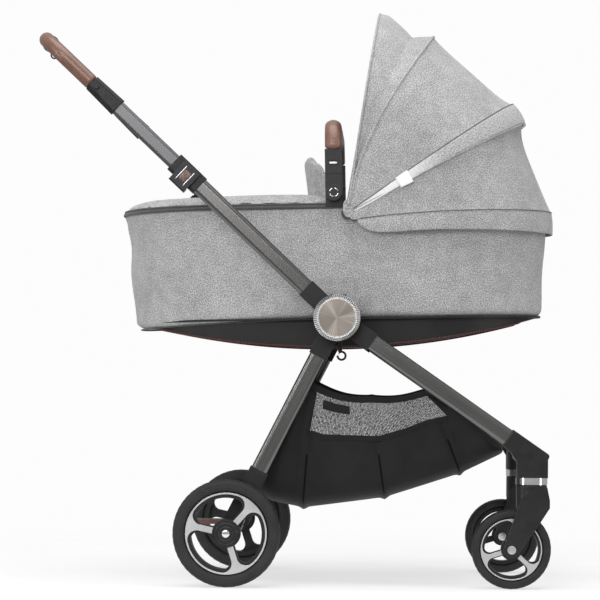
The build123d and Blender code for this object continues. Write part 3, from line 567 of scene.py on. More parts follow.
COT_FORWARD = cot([1, 0, 0]) - cot([0, 0, 0])
CARRY_X, CARRY_Z, CARRY_Y = -3.2, 236.0, 214.15
across, out = bent_bar(CARRY_Y, 316.0, 364.5, 46.0)
path = cot(np.stack([np.full_like(out, CARRY_X), across, out], -1))
points, faces, corners = sleeve(path, COT_FORWARD, 15.6, 11.8, 32, 7.0, 0.03)
grip = piece("carry_handle_leather", points, faces.tolist(), corners, [leather])
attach(grip, "carry_handle")
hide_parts("carry_grip")
across, out = bent_bar(CARRY_Y, 324.0, 364.5, 46.0, 6.5)
inner = cot(np.stack([np.full_like(out, CARRY_X), across, out], -1))
for label, shift in (("front", 3.2), ("back", -3.2)):
    stitches(f"carry_handle_stitches_{label}", inner, COT_FORWARD, 11.5, shift, "carry_handle")

# ---- carrycot cover ----------------------------------------------------------------------
# The carrycot's outer cover is grey melange wool cloth on a stiff liner.  It is drawn over a
# rim frame, tucked under at the bottom, and edged with a dark piped binding at the top.
COT_BACK, COT_FRONT, COT_HALF, RIM, BOTTOM = -415.0, 406.0, 204.0, 209.0, 2.0
FOOT_ROUND, HEAD_ROUND = 180.0, 236.0


def wool(name, dark, plain, pale, source="UV", scale=1.0):
    """Melange cloth: fibres of three greys mixed at random in two sizes, slow patches, a twill
    of fine diagonal ribs, and a nap that catches the light at a low angle."""
    material, tree, skin, place = shader(name, plain, 0.93, Sheen_Weight=0.22, Sheen_Roughness=0.45,
                                         Specular_IOR_Level=0.15)
    if source == "UV":
        place = own_uv(tree)
    coarse = noise(tree, place, 400.0 * scale, 3.0, 0.8)
    fine = noise(tree, place, 900.0 * scale, 2.0, 0.7)
    slow = noise(tree, place, 8.0, 4.0, 0.6)
    both = maths(tree, "ADD", coarse, fine)
    low = two_tone(tree, spread(tree, both, 0, 1, 0.82, 1.0), dark, plain)
    mixed = two_tone(tree, spread(tree, both, 0, 1, 1.0, 1.17), low, pale)
    uneven = maths(tree, "ADD", slow, noise(tree, place, 42.0, 3.0, 0.6))
    shaded = two_tone(tree, spread(tree, uneven, 0, 0.34, 0.7, 1.3), mixed, [c * 0.5 for c in dark])
    paint(tree, skin, shaded)
    polish(tree, skin, spread(tree, fine, 0.86, 0.98))
    ribs = node(tree, "ShaderNodeTexWave", {"Vector": place, "Scale": 190.0 * scale, "Distortion": 1.6,
                                            "Detail": 1.0}, bands_direction="DIAGONAL").outputs["Fac"]
    bump(tree, skin, maths(tree, "ADD", both, ribs), 0.00035, 0.6)
    return material


GREYS = ((0.12, 0.12, 0.122), (0.39, 0.39, 0.392), grey(0.74))
grey_wool = wool("grey_melange_wool", *GREYS)
lining = wool("pale_jersey_lining", grey(0.42), grey(0.56), grey(0.68), scale=1.6)
# Dark wool for cords along hood seams: on the casing's upper seam it paints the shadow under the front
# cloth's edge, and it also draws the skirt's seam.
seam_and_shadow_grey = wool("seam_and_painted_shadow_wool", (0.07, 0.07, 0.071), (0.13, 0.13, 0.132), grey(0.26), scale=1.4)
binding = wool("dark_piped_binding", (0.045, 0.045, 0.046), (0.085, 0.085, 0.087), grey(0.15), scale=1.4)


def outline(inset=0.0, level=1.0, ends=72, sides=64):
    """The carrycot's plan, level 0 at the bottom and 1 at the rim: half an ellipse at the foot,
    half a wider one at the head, and straight sides between.  It starts at the foot end of the
    left side and goes round by the foot."""
    drop = 1 - np.asarray(level, float)
    back, front = COT_BACK + 21 * drop + inset, COT_FRONT - 15 * drop - inset
    half, foot, head = COT_HALF - 6 * drop - inset, FOOT_ROUND - inset, HEAD_ROUND - inset
    a = np.linspace(pi / 2, 3 * pi / 2, ends, endpoint=False)
    b = np.linspace(-pi / 2, pi / 2, ends, endpoint=False)
    run = np.linspace(0, 1, sides, endpoint=False)
    start, stop = back + foot, front - head
    x = np.concatenate([start + foot * np.cos(a), start + (stop - start) * run,
                        stop + head * np.cos(b), stop + (start - stop) * run])
    y = np.concatenate([half * np.sin(a), -half + 0 * run, half * np.sin(b), half + 0 * run])
    return x, y


def grid_normals(points, wrap=False):
    """Unit normals of a grid of points: the cross product of its two directions."""
    rows = np.roll(points, -1, 0) - np.roll(points, 1, 0) if wrap else np.gradient(points, axis=0)
    n = np.cross(rows, np.gradient(points, axis=1))
    return n / np.maximum(np.linalg.norm(n, axis=2, keepdims=True), 1e-9)


def cloth(name, points, thickness, middle, materials, wrap=False):
    """A closed sheet of cloth.  The grid is its outer face; its inner face is the same grid moved
    in along the normals; the edges between them are rounded by a point half a thickness out.
    Its own coordinates are distances along the grid.  Returns it with its flat width, length
    and area in metres, measured along the grid."""
    n = grid_normals(points, wrap)
    n *= np.sign(np.sum(n * (points - np.array(middle))))
    back = points - n * thickness
    half = thickness / 2

    def edge(side, inside):
        """The rounding point of one edge, half a thickness beyond it."""
        out = points[:, side] - points[:, inside]
        out = out / np.maximum(np.linalg.norm(out, axis=1, keepdims=True), 1e-9)
        return (points[:, side] + back[:, side]) / 2 + out * half
    loop = np.concatenate([points, edge(-1, -2)[:, None], back[:, ::-1], edge(0, 1)[:, None]], 1)
    faces, row, column = lattice(loop, wrap, True)
    rows, columns = points.shape[:2]
    closed = np.concatenate([points, points[:1]]) if wrap else points
    steps_u = np.linalg.norm(np.diff(closed, axis=0), axis=2).mean(1)
    u = np.concatenate([[0], np.cumsum(steps_u)])
    steps_v = np.linalg.norm(np.diff(points, axis=1), axis=2)
    v = np.concatenate([np.zeros((rows, 1)), np.cumsum(steps_v, 1)], 1)
    v = v - v[:, -1:] / 2
    v = np.concatenate([v, v[:, -1:] + half, v[:, ::-1], v[:, :1] - half], 1)
    v = np.concatenate([v, v[:1]]) if wrap else v
    at = column % v.shape[1]
    corners = np.stack([u[row], v[row, at]], -1) * 0.001
    which = (column[:, 0] > columns) & (column[:, 0] < 2 * columns + 1)
    faces, corners, which = faces.tolist(), corners.reshape(-1, 2), which.astype(int)
    if not wrap:
        j = np.arange(columns - 1)
        ends = []
        for base in (0, (rows - 1) * loop.shape[1]):
            strip = np.stack([j, j + 1, 2 * columns - 1 - j, 2 * columns - j], -1) + base
            ends += strip.tolist()
            ends.append([base + columns - 1, base + columns, base + columns + 1])
            ends.append([base, base + 2 * columns, base + 2 * columns + 1])
        faces += ends
        extra = sum(len(f) for f in ends)
        corners = np.concatenate([corners, np.zeros((extra, 2))])
        which = np.concatenate([which, np.zeros(len(ends), int)])
    made = piece(name, loop, faces, corners, materials, which if len(materials) > 1 else None)
    around = steps_v.sum(1)
    area = (steps_u * around[:len(steps_u)]).sum() * 1e-6
    width, length = float(around.max()) * 0.001, float(u[-1]) * 0.001
    return made, (width, length), float(min(area, width * length))


def crease(x, z, start, end, width, depth):
    """A soft fold along a line: a Gaussian hollow or ridge that dies away past both ends."""
    (x0, z0), (x1, z1) = start, end
    dx, dz = x1 - x0, z1 - z0
    t = ((x - x0) * dx + (z - z0) * dz) / (dx * dx + dz * dz)
    off = np.hypot(x - x0 - np.clip(t, 0, 1) * dx, z - z0 - np.clip(t, 0, 1) * dz)
    ends = np.clip(np.abs(t - 0.5) - 0.3, 0, None)
    return depth * np.exp(-(off / width) ** 2) * np.exp(-(ends / 0.25) ** 2)


def hem_height(x):
    """The cover's lower edge: level under the head, and 13 mm lower at the foot end."""
    return BOTTOM - 13.0 * np.clip((-x - 40) / 340, 0, 1) ** 1.3


# The cover's surface: the plan at forty levels, pushed out and in by slow swells and six soft
# folds, and tucked in at the bottom and under the rim.
FOLDS = (((10, 188), (190, 126), 16, 2.6), ((0, 176), (150, 82), 14, -2.4),
         ((-330, 60), (-150, 30), 18, -2.2), ((-90, 45), (110, 60), 20, 2.0),
         ((240, 70), (360, 40), 18, -2.0), ((-60, 120), (-260, 150), 20, 1.6))
levels = np.concatenate([np.linspace(0, 0.06, 6), np.linspace(0.09, 1.0, 34)])
x, y = (np.stack(rows, 1) for rows in zip(*[outline(0.6, level) for level in levels]))
z = hem_height(x) + (RIM - hem_height(x)) * levels[None, :]
share = levels[None, :]
foot = np.clip((-x - 250) / 120, 0, 1)
swell = -5.0 * foot * np.exp(-((share - 0.72) / 0.17) ** 2)
swell = swell + 1.6 * foot * np.exp(-((share - 0.3) / 0.2) ** 2)
swell = swell - 1.6 * np.exp(-((share - 0.93) / 0.035) ** 2)
swell = swell + 1.1 * np.sin(x / 61 + z / 47) * np.sin(z / 39 - x / 93)
swell = swell + 0.7 * np.sin(x / 29 - z / 21 + 1) + sum(crease(x, z, *fold) for fold in FOLDS)
swell = np.where((np.abs(x) < 40) & (z < 70), np.minimum(swell, 0), np.minimum(swell, 2.2))
tuck = 7.0 * (1 - np.clip(share / 0.06, 0, 1)) ** 2 + 2.0 * np.clip((share - 0.985) / 0.015, 0, 1)
tuck = tuck + 8.0 * np.clip((-x - 330) / 70, 0, 1) * (1 - np.clip(share / 0.05, 0, 1)) ** 1.6
points = np.stack([x, y, z], -1)
n = grid_normals(points, True)
n[..., 2] = 0
n /= np.linalg.norm(n, axis=2, keepdims=True)
n *= np.sign(np.sum(n * np.stack([x, y, 0 * z], -1)))
points = points + n * (swell - tuck)[..., None]
cover, flat, area = cloth("carrycot_cover", cot(points), 3.0, cot([0, 0, 100]), [grey_wool, lining], True)
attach(cover, "carrycot")
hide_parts("cot_cover")


def piping(name, path, radius, material, body, closed=False, up=(0, 0, 1)):
    """A round cord sewn along an edge: a circle carried along the path, its ends drawn to points
    over two radii unless the path is closed."""
    t = np.roll(path, -1, 0) - np.roll(path, 1, 0) if closed else np.gradient(path, axis=0)
    t /= np.linalg.norm(t, axis=1, keepdims=True)
    b = np.cross(t, np.array(up, float))
    b /= np.maximum(np.linalg.norm(b, axis=1, keepdims=True), 1e-9)
    n = np.cross(b, t)
    step = np.linalg.norm(np.diff(np.concatenate([path, path[:1]]), axis=0), axis=1)
    length = np.concatenate([[0], np.cumsum(step)])
    r = np.full(len(path), float(radius))
    if not closed:
        d = np.minimum(length[:-1], length[-2] - length[:-1])
        r *= np.sqrt(np.clip(1 - (1 - np.clip(d / (2 * radius), 0, 1)) ** 2, 0, 1))
    phi = np.linspace(0, 2 * pi, 12, endpoint=False)
    points = path[:, None] + (r[:, None] * np.cos(phi))[..., None] * b[:, None] \
        + (r[:, None] * np.sin(phi))[..., None] * n[:, None]
    faces, row, column = lattice(points, closed, True)
    corners = np.stack([length[row], column * (2 * pi * radius / 12)], -1) * 0.001
    made = piece(name, points, faces.tolist(), corners, [material])
    if body:
        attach(made, body)
    return made


def ring_at(inset, height, level=1.0):
    """The carrycot's plan at a height, as points."""
    x, y = outline(inset, level)
    return np.stack([x, y, np.full_like(x, height)], -1)


piping("carrycot_rim_piping", cot(ring_at(0.4, RIM + 1.2)), 3.4, binding, "carrycot", True)
hem_line = ring_at(8.0, BOTTOM - 1.6, 0.0)
hem_line[:, 2] += hem_height(hem_line[:, 0]) - BOTTOM
piping("carrycot_hem_piping", cot(hem_line), 1.5, binding, "carrycot", True)

# ---- carrycot tub ------------------------------------------------------------------------
# The tub under the cover is black moulded plastic with a shallow keel.  A dark tape is sewn
# along the keel's edge on both sides, with a row of dull red thread.
dress(moulded("tub_plastic", (0.009, 0.009, 0.0095), 0.5, 1300.0, 0.03), "cot_tub")
tape, tree, skin, place = shader("red_stitched_tape", (0.02, 0.014, 0.014), 0.75)
place = own_uv(tree)
part = node(tree, "ShaderNodeSeparateXYZ", {0: place}).outputs
dashes = spread(tree, wave_of(tree, part["X"], 1100.0), 0, 1, 0.0, 0.5)
paint(tree, skin, two_tone(tree, dashes, (0.016, 0.013, 0.013), (0.10, 0.016, 0.014)))
bump(tree, skin, noise(tree, place, 900.0), 0.0001)
keel_x = np.linspace(-352, 349, 100)
keel_z = 1439.4 - np.sqrt(1491.9 ** 2 - (keel_x + 2) ** 2)
past = np.clip((-214 - keel_x) / 170, 0, 1) + np.clip((keel_x - 155) / 226, 0, 1)
for side, half in (("left", 188.6), ("right", -188.6)):
    edge = np.stack([keel_x, half * np.sqrt(1 - past ** 2), keel_z], -1)
    piping(f"tub_keel_tape_{side}", cot(edge), 2.3, tape, "carrycot")

# ---- mattress, foot cover and wind flap --------------------------------------------------
# The mattress is a foam pad in quilted jersey.  The foot half of the carrycot is closed by a
# padded cover of the same wool, and a padded flap stands on its open end against the wind.


def pad(name, edge, middle, top, bottom, rings, material):
    """A closed pad.  Its outline shrinks towards a middle point in even steps; height above each
    ring is top(d) and bottom(d), where d is the distance in from the edge, 0 to 1."""
    share = np.concatenate([np.linspace(0, 1, rings) ** 0.6, np.linspace(1, 0, rings) ** 0.6])[None, :]
    over = np.arange(2 * rings)[None, :] < rings
    x = middle[0] + (edge[0][:, None] - middle[0]) * share
    y = middle[1] + (edge[1][:, None] - middle[1]) * share
    d = 1 - share + 0 * x
    z = np.where(over, top(d, x, y), bottom(d, x, y))
    points = cot(np.stack([x, y, z], -1))
    faces, _, _ = lattice(points, True, False)
    return piece(name, points, faces.tolist(), None, [material])


def points_of(mesh):
    """A mesh's points as rows of three, in metres."""
    co = np.zeros(len(mesh.vertices) * 3, np.float32)
    mesh.vertices.foreach_get("co", co)
    return co.reshape(-1, 3)


STEPS, PRESSURE = 20, 4.0


def stuff(made, voxel, most, floor=None):
    """Fill a closed skin: its faces are made even, then cloth under pressure swells it for some
    steps; no point moves further than most millimetres, nor below floor."""
    bpy.context.view_layer.objects.active = made
    remesh = made.modifiers.new("even", "REMESH")
    remesh.mode, remesh.voxel_size = "VOXEL", voxel * 0.001
    bpy.ops.object.modifier_apply(modifier="even")
    mesh = made.data
    start = points_of(mesh)
    skin = made.modifiers.new("stuffing", "CLOTH")
    skin.settings.use_pressure = True
    skin.settings.uniform_pressure_force = PRESSURE
    skin.settings.effector_weights.gravity = 0.0
    skin.settings.quality = 4
    skin.point_cache.frame_end = STEPS
    for frame_number in range(1, STEPS + 1):
        scene.frame_set(frame_number)
    shown = made.evaluated_get(bpy.context.evaluated_depsgraph_get()).to_mesh()
    moved = points_of(shown) - start
    made.modifiers.remove(skin)
    scene.frame_set(1)
    far = np.linalg.norm(moved, axis=1, keepdims=True)
    moved *= np.minimum(1, most * 0.001 / np.maximum(far, 1e-9))
    if floor is not None:
        rise = moved[:, 2]
        moved[:, 2] = np.where(start[:, 2] + rise < floor, np.maximum(rise, 0), rise)
    mesh.vertices.foreach_set("co", (start + moved).ravel())
    mesh.shade_smooth()
    return made


def finer(made):
    """One subdivision of a padded piece, as shown and as rendered."""
    smooth = made.modifiers.new("smooth", "SUBSURF")
    smooth.levels = smooth.render_levels = 1


def push(made, depth):
    """Move a mesh's points up by a function of their place in the carrycot, in millimetres."""
    mesh = made.data
    co = points_of(mesh)
    co[:, 2] += depth(co[:, 0] * 1000 - HUB_MM[0], co[:, 1] * 1000, co[:, 2] * 1000 - HUB_MM[1]) * 0.001
    mesh.vertices.foreach_set("co", co.ravel())


quilt = wool("quilted_jersey", grey(0.46), (0.62, 0.62, 0.61), (0.74, 0.74, 0.73), "Object", 1.5)
bed = pad("mattress_pad", outline(12.0, 0.1, 40, 40), (0, 0),
          lambda d, x, y: 4.5 + 24 * np.clip(1 - (1 - np.clip(d / 0.09, 0, 1)) ** 3, 0, 1) ** 0.5,
          lambda d, x, y: 4.5 + 0 * d, 24, quilt)
stuff(bed, 7.0, 5.0, floor=0.49)
QUILT = 60.0


def quilting(x, y, z):
    """Channels in diamonds on the upper face."""
    a, b = (x + y) / QUILT, (x - y) / QUILT
    lines = np.exp(-((a - np.round(a)) * QUILT / 5.0) ** 2)
    lines = lines + np.exp(-((b - np.round(b)) * QUILT / 5.0) ** 2)
    return -2.2 * np.clip(lines, 0, 1) * np.clip((z - 20) / 8, 0, 1)


push(bed, quilting)
finer(bed)
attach(bed, "carrycot")
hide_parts("mattress")

pad_wool = wool("grey_melange_pad", *GREYS, "Object")
APRON_END = 0.0
x, y = outline(1.2, 1.0, 72, 60)
tail = slice(0, 72)
x_end = np.linspace(-233, APRON_END - 2, 40)
y_end = np.linspace(-202, 202, 60)[1:-1]
edge_x = np.concatenate([x[tail], x_end, np.full(58, APRON_END - 2), x_end[::-1]])
edge_y = np.concatenate([y[tail], np.full(40, -202.8), y_end, np.full(40, 202.8)])
apron = pad("foot_cover", (edge_x, edge_y), (-200, 0),
            lambda d, x, y: RIM + 7.5 + 19.5 * (1 - np.exp(-d * 190 / 24)) + 0 * x,
            lambda d, x, y: RIM + 3.4 + 15.5 * (1 - np.exp(-d * 190 / 26)) + 0 * x, 26, pad_wool)
stuff(apron, 5.0, 3.0)


def puckers(x, y, z):
    """Gathers that run in from the sewn edge and fade within 60 mm, and slow swells beyond."""
    reach = np.hypot(np.clip(-235 - x, 0, None) / FOOT_ROUND, y / COT_HALF)
    near = np.exp(-((1 - reach) * 200 / 38) ** 2)
    around = np.arctan2(y, -235 - x) * 150 * (x < -235) + x * (x >= -235)
    return 1.1 * near * np.sin(around / 7.5) + 1.3 * np.sin(x / 52 + 1) * np.cos(y / 47)


push(apron, puckers)
finer(apron)
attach(apron, "carrycot")
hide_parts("apron")

edge = np.stack([edge_x, edge_y, np.full_like(edge_x, RIM + 6.6)], -1)
inner = np.abs(edge_x - APRON_END) > 4
piping("foot_cover_zip", cot(edge[inner]), 2.2, binding, "carrycot")

FLAP_HALF, FLAP_BOW, FLAP_HEIGHT = 150.0, 38.0, 80.0
u = np.linspace(-1, 1, 70)[:, None]
v = np.linspace(0, 1, 26)[None, :]
top = FLAP_HEIGHT * (1 - 0.55 * np.abs(u) ** 6) - 4 * np.cos(u * 9) * (np.abs(u) < 0.9)
thick = 5.0 + 4.5 * (1 - u ** 10) * (1 - (2 * v - 1) ** 8)
x = APRON_END - 12 - FLAP_BOW * (1 - u ** 2) - 7 * v ** 1.5 + 1.2 * np.sin(u * 11) * v
z = RIM + 18.0 + (top + 6) * v
points = np.stack([x, FLAP_HALF * u + 0 * v, z], -1)
n = grid_normals(points)
n *= np.sign(-n[..., 0].sum())
front, back = points + n * thick[..., None] / 2, points - n * thick[..., None] / 2
loop = np.concatenate([front, back[:, ::-1]], 1)
faces, _, _ = lattice(loop, False, True)
count = loop.shape[1]
j = np.arange(25)
caps = [[b + k, b + k + 1, b + count - 2 - k, b + count - 1 - k] for b in (0, 69 * count) for k in j]
flap = piece("wind_flap_pad", cot(loop), faces.tolist() + caps, None, [pad_wool])
stuff(flap, 2.4, 2.5)
finer(flap)
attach(flap, "carrycot")
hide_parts("wind_flap")

# ---- carrying handle ---------------------------------------------------------------------
# Two flat plastic arms turn on the rim.  Each has a chrome rosette on its pivot, broken into four arcs, and a
# sliding catch: a bright bar on a thin black sheet that paints the shade of its slot, under the leather.
dress(moulded("carry_arm_nylon", (0.017, 0.017, 0.018), 0.42), "carry_arms")


def slab(name, place, size, power, material, lay=cot):
    """A rounded block: a superellipsoid of that power, with half sizes along the three axes of
    the frame that lay turns into the stroller's."""
    u = np.linspace(-pi / 2, pi / 2, 17)[:, None]
    v = np.linspace(0, 2 * pi, 40, endpoint=False)[None, :]

    def rounded(value):
        """A sine or cosine raised to the superellipsoid's power, with its sign kept."""
        return np.sign(value) * np.abs(value) ** (2 / power)
    x = size[0] * rounded(np.cos(u)) * rounded(np.cos(v))
    z = size[2] * rounded(np.cos(u)) * rounded(np.sin(v))
    y = size[1] * rounded(np.sin(u)) + 0 * v
    points = lay(np.stack([place[0] + x, place[1] + y, place[2] + z], -1))
    faces, _, _ = lattice(points, False, True)
    return piece(name, points, faces.tolist(), None, [material])


slot_painted_shade, tree, skin, place = shader("slot_shadow", grey(0.008), 0.7)
bump(tree, skin, noise(tree, place, 1400.0), 0.0001)
for side, sign in (("left", 1), ("right", -1)):
    for k in range(4):
        a = np.radians(np.linspace(8, 76, 16) + 90 * k + 7)
        arc = np.stack([CARRY_X + 7.9 * np.cos(a), np.full(16, sign * 223.2), CARRY_Z + 7.9 * np.sin(a)], -1)
        piping(f"carry_rosette_{side}_{k}", cot(arc), 1.15, chrome, "carry_handle", up=(0, 1, 0))
    # A thin black sheet: painted shade for the catch's slot.
    dark = slab(f"carry_catch_slot_shade_{side}", (CARRY_X, sign * 218.9, 293.0), (8.5, 0.7, 5.5), 5, slot_painted_shade)
    bar = slab(f"carry_catch_bar_{side}", (CARRY_X, sign * 219.3, 291.5), (7.4, 0.9, 2.1), 4, steel)
    cuff = slab(f"carry_cuff_{side}", (CARRY_X, sign * 214.15, 272.0), (16.5, 5.6, 1.1), 6, black_plastic)
    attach(dark, "carry_handle")
    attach(bar, "carry_handle")
    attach(cuff, "carry_handle")

# ---- hood --------------------------------------------------------------------------------
# Wool cloth is sewn over three flat bows that fan about a pin on each side.  Between the bows
# it is drawn in; a casing holds the middle bow, a skirt hangs outside the rim behind it, and
# the front edge stands up as a visor.  The bows are dark spring strip.
dress(moulded("bow_strip", (0.05, 0.05, 0.052), 0.4), "hood_mid_bow", "hood_front_bow", "visor_bow")
PIVOT = (20.6, 196.9)
HOOD_HALF, VISOR_R = 217.4, 405.0
CASING_LOW, CASING_HIGH, VISOR_EDGE = 27.4, 33.8, 80.3


LEG_END, LEG_POINTS, CROWN_POINTS = 150.0, 30, 110


def bow_line(start):
    """Each bow's shape: straight legs that end 150 mm from the pin, then half an ellipse.
    Returns which side of the middle, distance out for a unit ellipse, and how far up the crown."""
    leg = np.linspace(start, LEG_END, LEG_POINTS, endpoint=False)
    e = np.linspace(0, pi, CROWN_POINTS)
    flat = np.zeros(LEG_POINTS)
    side = np.concatenate([flat - 1, -np.cos(e), flat + 1])
    reach = np.concatenate([leg, np.full(CROWN_POINTS, LEG_END), leg[::-1]])
    lift = np.concatenate([flat, np.sin(e), flat])
    return side[:, None], reach[:, None], lift[:, None]


def fan(low, high, crown, draw, steps, half=HOOD_HALF, ripple=0.0, start=5.0):
    """Cloth between two lines that fan about the pin.  low and high give the angle of each by
    distance from the pin; crown gives the crown's radius, and draw how far the sides are drawn
    in, by the share of the way between; the ripple is a soft diagonal wave."""
    side, reach, lift = bow_line(start)
    t = np.linspace(0, 1, steps)[None, :]
    out = reach + (crown(t) - LEG_END) * lift
    angle = np.radians(low(out) + (high(out) - low(out)) * t)
    inward = draw(t) * np.clip(out / 120, 0, 1) ** 1.5
    wave = ripple * np.sin(out / 31 + 5 * t) * np.sin(pi * t) * np.clip(out / 90, 0, 1)
    across = side * (half - inward * (1 - 0.4 * lift) + wave * (1 - lift))
    out = out + wave * lift
    x, z = PIVOT[0] + out * np.cos(angle), PIVOT[1] + out * np.sin(angle)
    return cot(np.stack([x, across + 0 * x, z], -1))


def seam_low(out):
    """Top of the skirt: it climbs from just under the pin to 5 mm above it at the head end."""
    return np.degrees(np.arcsin(np.clip((5 - 20 * np.exp(-out / 120)) / np.maximum(out, 16), -0.9, 0.9)))


def seam_front(out):
    """The front bow's seam: it leaves the bow's line towards the front as it nears the pin."""
    return 64 + 12.5 * np.clip((393 - out) / 325, 0, 1) ** 1.5


def flat_angle(value):
    """A seam that keeps one angle at every distance."""
    return lambda out: value + 0 * out


def between(first, last, sag, power, lean=1.0):
    """A drawn profile between two bows: a straight run less a hollow, leaned to one side."""
    return lambda t: first + (last - first) * t - sag * (4 * t ** lean * (1 - t ** lean)) ** power


def hollow(depth):
    """A draw that is nothing at both seams and deepest half way."""
    return lambda t: depth * (4 * t * (1 - t)) ** 0.7


HOOD_MIDDLE = cot([60, 0, 230])
points = fan(seam_low, flat_angle(CASING_LOW + 0.8), between(394.0, 391.0, 25.0, 0.62, 1.4),
             hollow(7.0), 34, ripple=1.3)
rear, flat, area = cloth("hood_rear_cloth", points, 1.3, HOOD_MIDDLE, [grey_wool, lining])
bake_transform(rear)
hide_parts("hood_rear_panel")

# The casing's cloth: plain melange, and near the pin a paler tone, a painted highlight on the strip that
# fades with distance from the pin.
casing_cloth_with_painted_light, tree, skin, place = shader("casing_wool_painted_highlight", GREYS[1], 0.9, Sheen_Weight=0.2, Specular_IOR_Level=0.15)
place = own_uv(tree)
fleck = maths(tree, "ADD", noise(tree, place, 290.0, 3.0, 0.75), noise(tree, place, 820.0))
plain = two_tone(tree, spread(tree, fleck, 0, 1, 0.78, 1.2), (0.13, 0.13, 0.132), grey(0.60))
highlight_tone = two_tone(tree, spread(tree, fleck, 0, 1, 0.74, 1.22), grey(0.62), grey(0.86))
part = node(tree, "ShaderNodeAttribute", attribute_name="painted_light_share").outputs["Fac"]
paint(tree, skin, two_tone(tree, part, plain, highlight_tone))
bump(tree, skin, fleck, 0.0003, 0.6)


def paint_highlight_on_legs(made, centre, full, gone):
    """Store the share of painted highlight at each point of the casing: whole within one distance of the pin,
    and fading out to the other."""
    co = points_of(made.data) * 1000
    d = np.hypot(co[:, 0] - centre[0], co[:, 2] - centre[2])
    pale = np.clip((gone - d) / (gone - full), 0, 1)
    store = made.data.attributes.new("painted_light_share", "FLOAT", "POINT").data
    store.foreach_set("value", pale.astype(np.float32))


points = fan(lambda out: CASING_LOW - 14 * np.exp(-out / 45),
             lambda out: CASING_HIGH + 3 * np.exp(-out / 45),
             lambda t: 390.6 + 3.0 * (4 * t * (1 - t)) ** 0.6,
             lambda t: -1.3 - 1.6 * (4 * t * (1 - t)) ** 0.6, 12, start=14.0)
casing, flat, area = cloth("hood_bow_casing", points, 1.2, HOOD_MIDDLE, [casing_cloth_with_painted_light])
# Painted highlight: whole within 115 mm of the pin, gone at 210 mm.
paint_highlight_on_legs(casing, cot([PIVOT[0], 0, PIVOT[1]]), 115, 210)
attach(casing, "hood_mid")

points = fan(flat_angle(CASING_HIGH - 0.3), seam_front, between(391.5, 391.5, 21.5, 0.8, 0.85),
             hollow(0.6), 34, half=HOOD_HALF + 1.1, ripple=0.9)
front, flat, area = cloth("hood_front_cloth", points, 1.3, HOOD_MIDDLE, [grey_wool, lining])
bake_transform(front)
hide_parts("hood_front_panel")


def visor_crown(t):
    """Level from the front bow, then straight up to the visor's tip."""
    return 392.5 - 19.0 * np.clip(t / 0.36, 0, 1) + 31.5 * np.clip((t - 0.32) / 0.54, 0, 1)


points = fan(seam_front, flat_angle(VISOR_EDGE), visor_crown,
             lambda t: 2.6 * np.sin(pi * np.clip(t / 0.7, 0, 1)), 26, half=HOOD_HALF + 1.1)
visor, flat, area = cloth("hood_visor_cloth", points, 1.4, HOOD_MIDDLE, [grey_wool, lining])
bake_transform(visor)
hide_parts("visor_panel")


def along_bow(angle, radius, half):
    """The line of a seam over the hood at an angle, as points."""
    side, reach, lift = bow_line(12.0)
    out = reach + (radius - LEG_END) * lift
    a = np.radians(angle(out))
    line = np.concatenate([PIVOT[0] + out * np.cos(a), side * half, PIVOT[1] + out * np.sin(a)], 1)
    return cot(line)


# The casing's upper seam cord is dark wool: a painted shadow under the front cloth's edge.
for name, angle, crown, beyond, radius, thread_of, body in (
        ("hood_front_seam", seam_front, 391.4, 1.3, 2.6, grey_wool, "hood_front"),
        ("hood_casing_seam", flat_angle(CASING_HIGH + 0.1), 390.6, 1.2, 0.95, seam_and_shadow_grey, "hood_mid"),
        ("hood_casing_lower_seam", flat_angle(CASING_LOW - 0.3), 390.0, 0.4, 1.0, grey_wool, "hood_mid"),
        ("visor_hem", flat_angle(VISOR_EDGE), VISOR_R - 0.4, 3.6, 2.2, grey_wool, "visor")):
    line = along_bow(angle, crown, HOOD_HALF + beyond)
    piping(name, line, radius, thread_of, body, up=(0, 1, 0.01))

side, reach, lift = bow_line(20.0)
v = np.linspace(0, 1, 16)[None, :]
out = reach + (393.2 - LEG_END) * lift
top = 5 - 20 * np.exp(-out / 120)
low = -33 - 3.5 * np.exp(-((out - 75) / 45) ** 2) - 5 * np.clip((out - 210) / 180, 0, 1) ** 2
low = low + 15 * np.exp(-((out - 16) / 17) ** 2)
rise = low + (top - low) * v
proud = 1.4 + 1.6 * np.sin(pi * v) + 1.2 * (1 - v) ** 3
x = PIVOT[0] + out + proud * lift
y = side * (HOOD_HALF + proud * (1 - 0.6 * lift)) + 0 * v
points = cot(np.stack([x + 0 * v, y, PIVOT[1] + rise], -1))
skirt, flat, area = cloth("hood_skirt", points, 1.4, HOOD_MIDDLE, [grey_wool])
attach(skirt, "carrycot")
line = np.concatenate([PIVOT[0] + out + 1.5 * lift, side * (HOOD_HALF + 2.7), PIVOT[1] + top + 0.6], 1)
piping("hood_skirt_seam", cot(line), 0.8, seam_and_shadow_grey, "carrycot")

for side_name, sign in (("left", 1), ("right", -1)):
    corner = slab(f"hood_corner_patch_{side_name}", (PIVOT[0] + 3, sign * (HOOD_HALF + 0.5), PIVOT[1] + 9),
                  (10.5, 1.2, 17.0), 2.3, pad_wool)
    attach(corner, "hood_mid")

# A blank white woven tag is folded over the casing on the near side.
tag_cloth, tree, skin, place = shader("white_woven_tag", grey(0.86), 0.7)
weave = node(tree, "ShaderNodeTexWave", {"Vector": place, "Scale": 260.0}).outputs["Fac"]
paint(tree, skin, two_tone(tree, weave, grey(0.80), grey(0.92)))
bump(tree, skin, weave, 0.0001, 0.5)
u = np.linspace(112, 138, 12)[:, None]
v = np.linspace(24.4, 34.6, 12)[None, :]
a = np.radians(v)
y = -(HOOD_HALF + 3.4 + 0.6 * np.sin((v - 24.4) / 10.2 * pi)) + 0 * u
points = cot(np.stack([PIVOT[0] + u * np.cos(a), y, PIVOT[1] + u * np.sin(a)], -1))
tag, flat, area = cloth("hood_tag", points, 0.6, HOOD_MIDDLE, [tag_cloth])
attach(tag, "hood_mid")

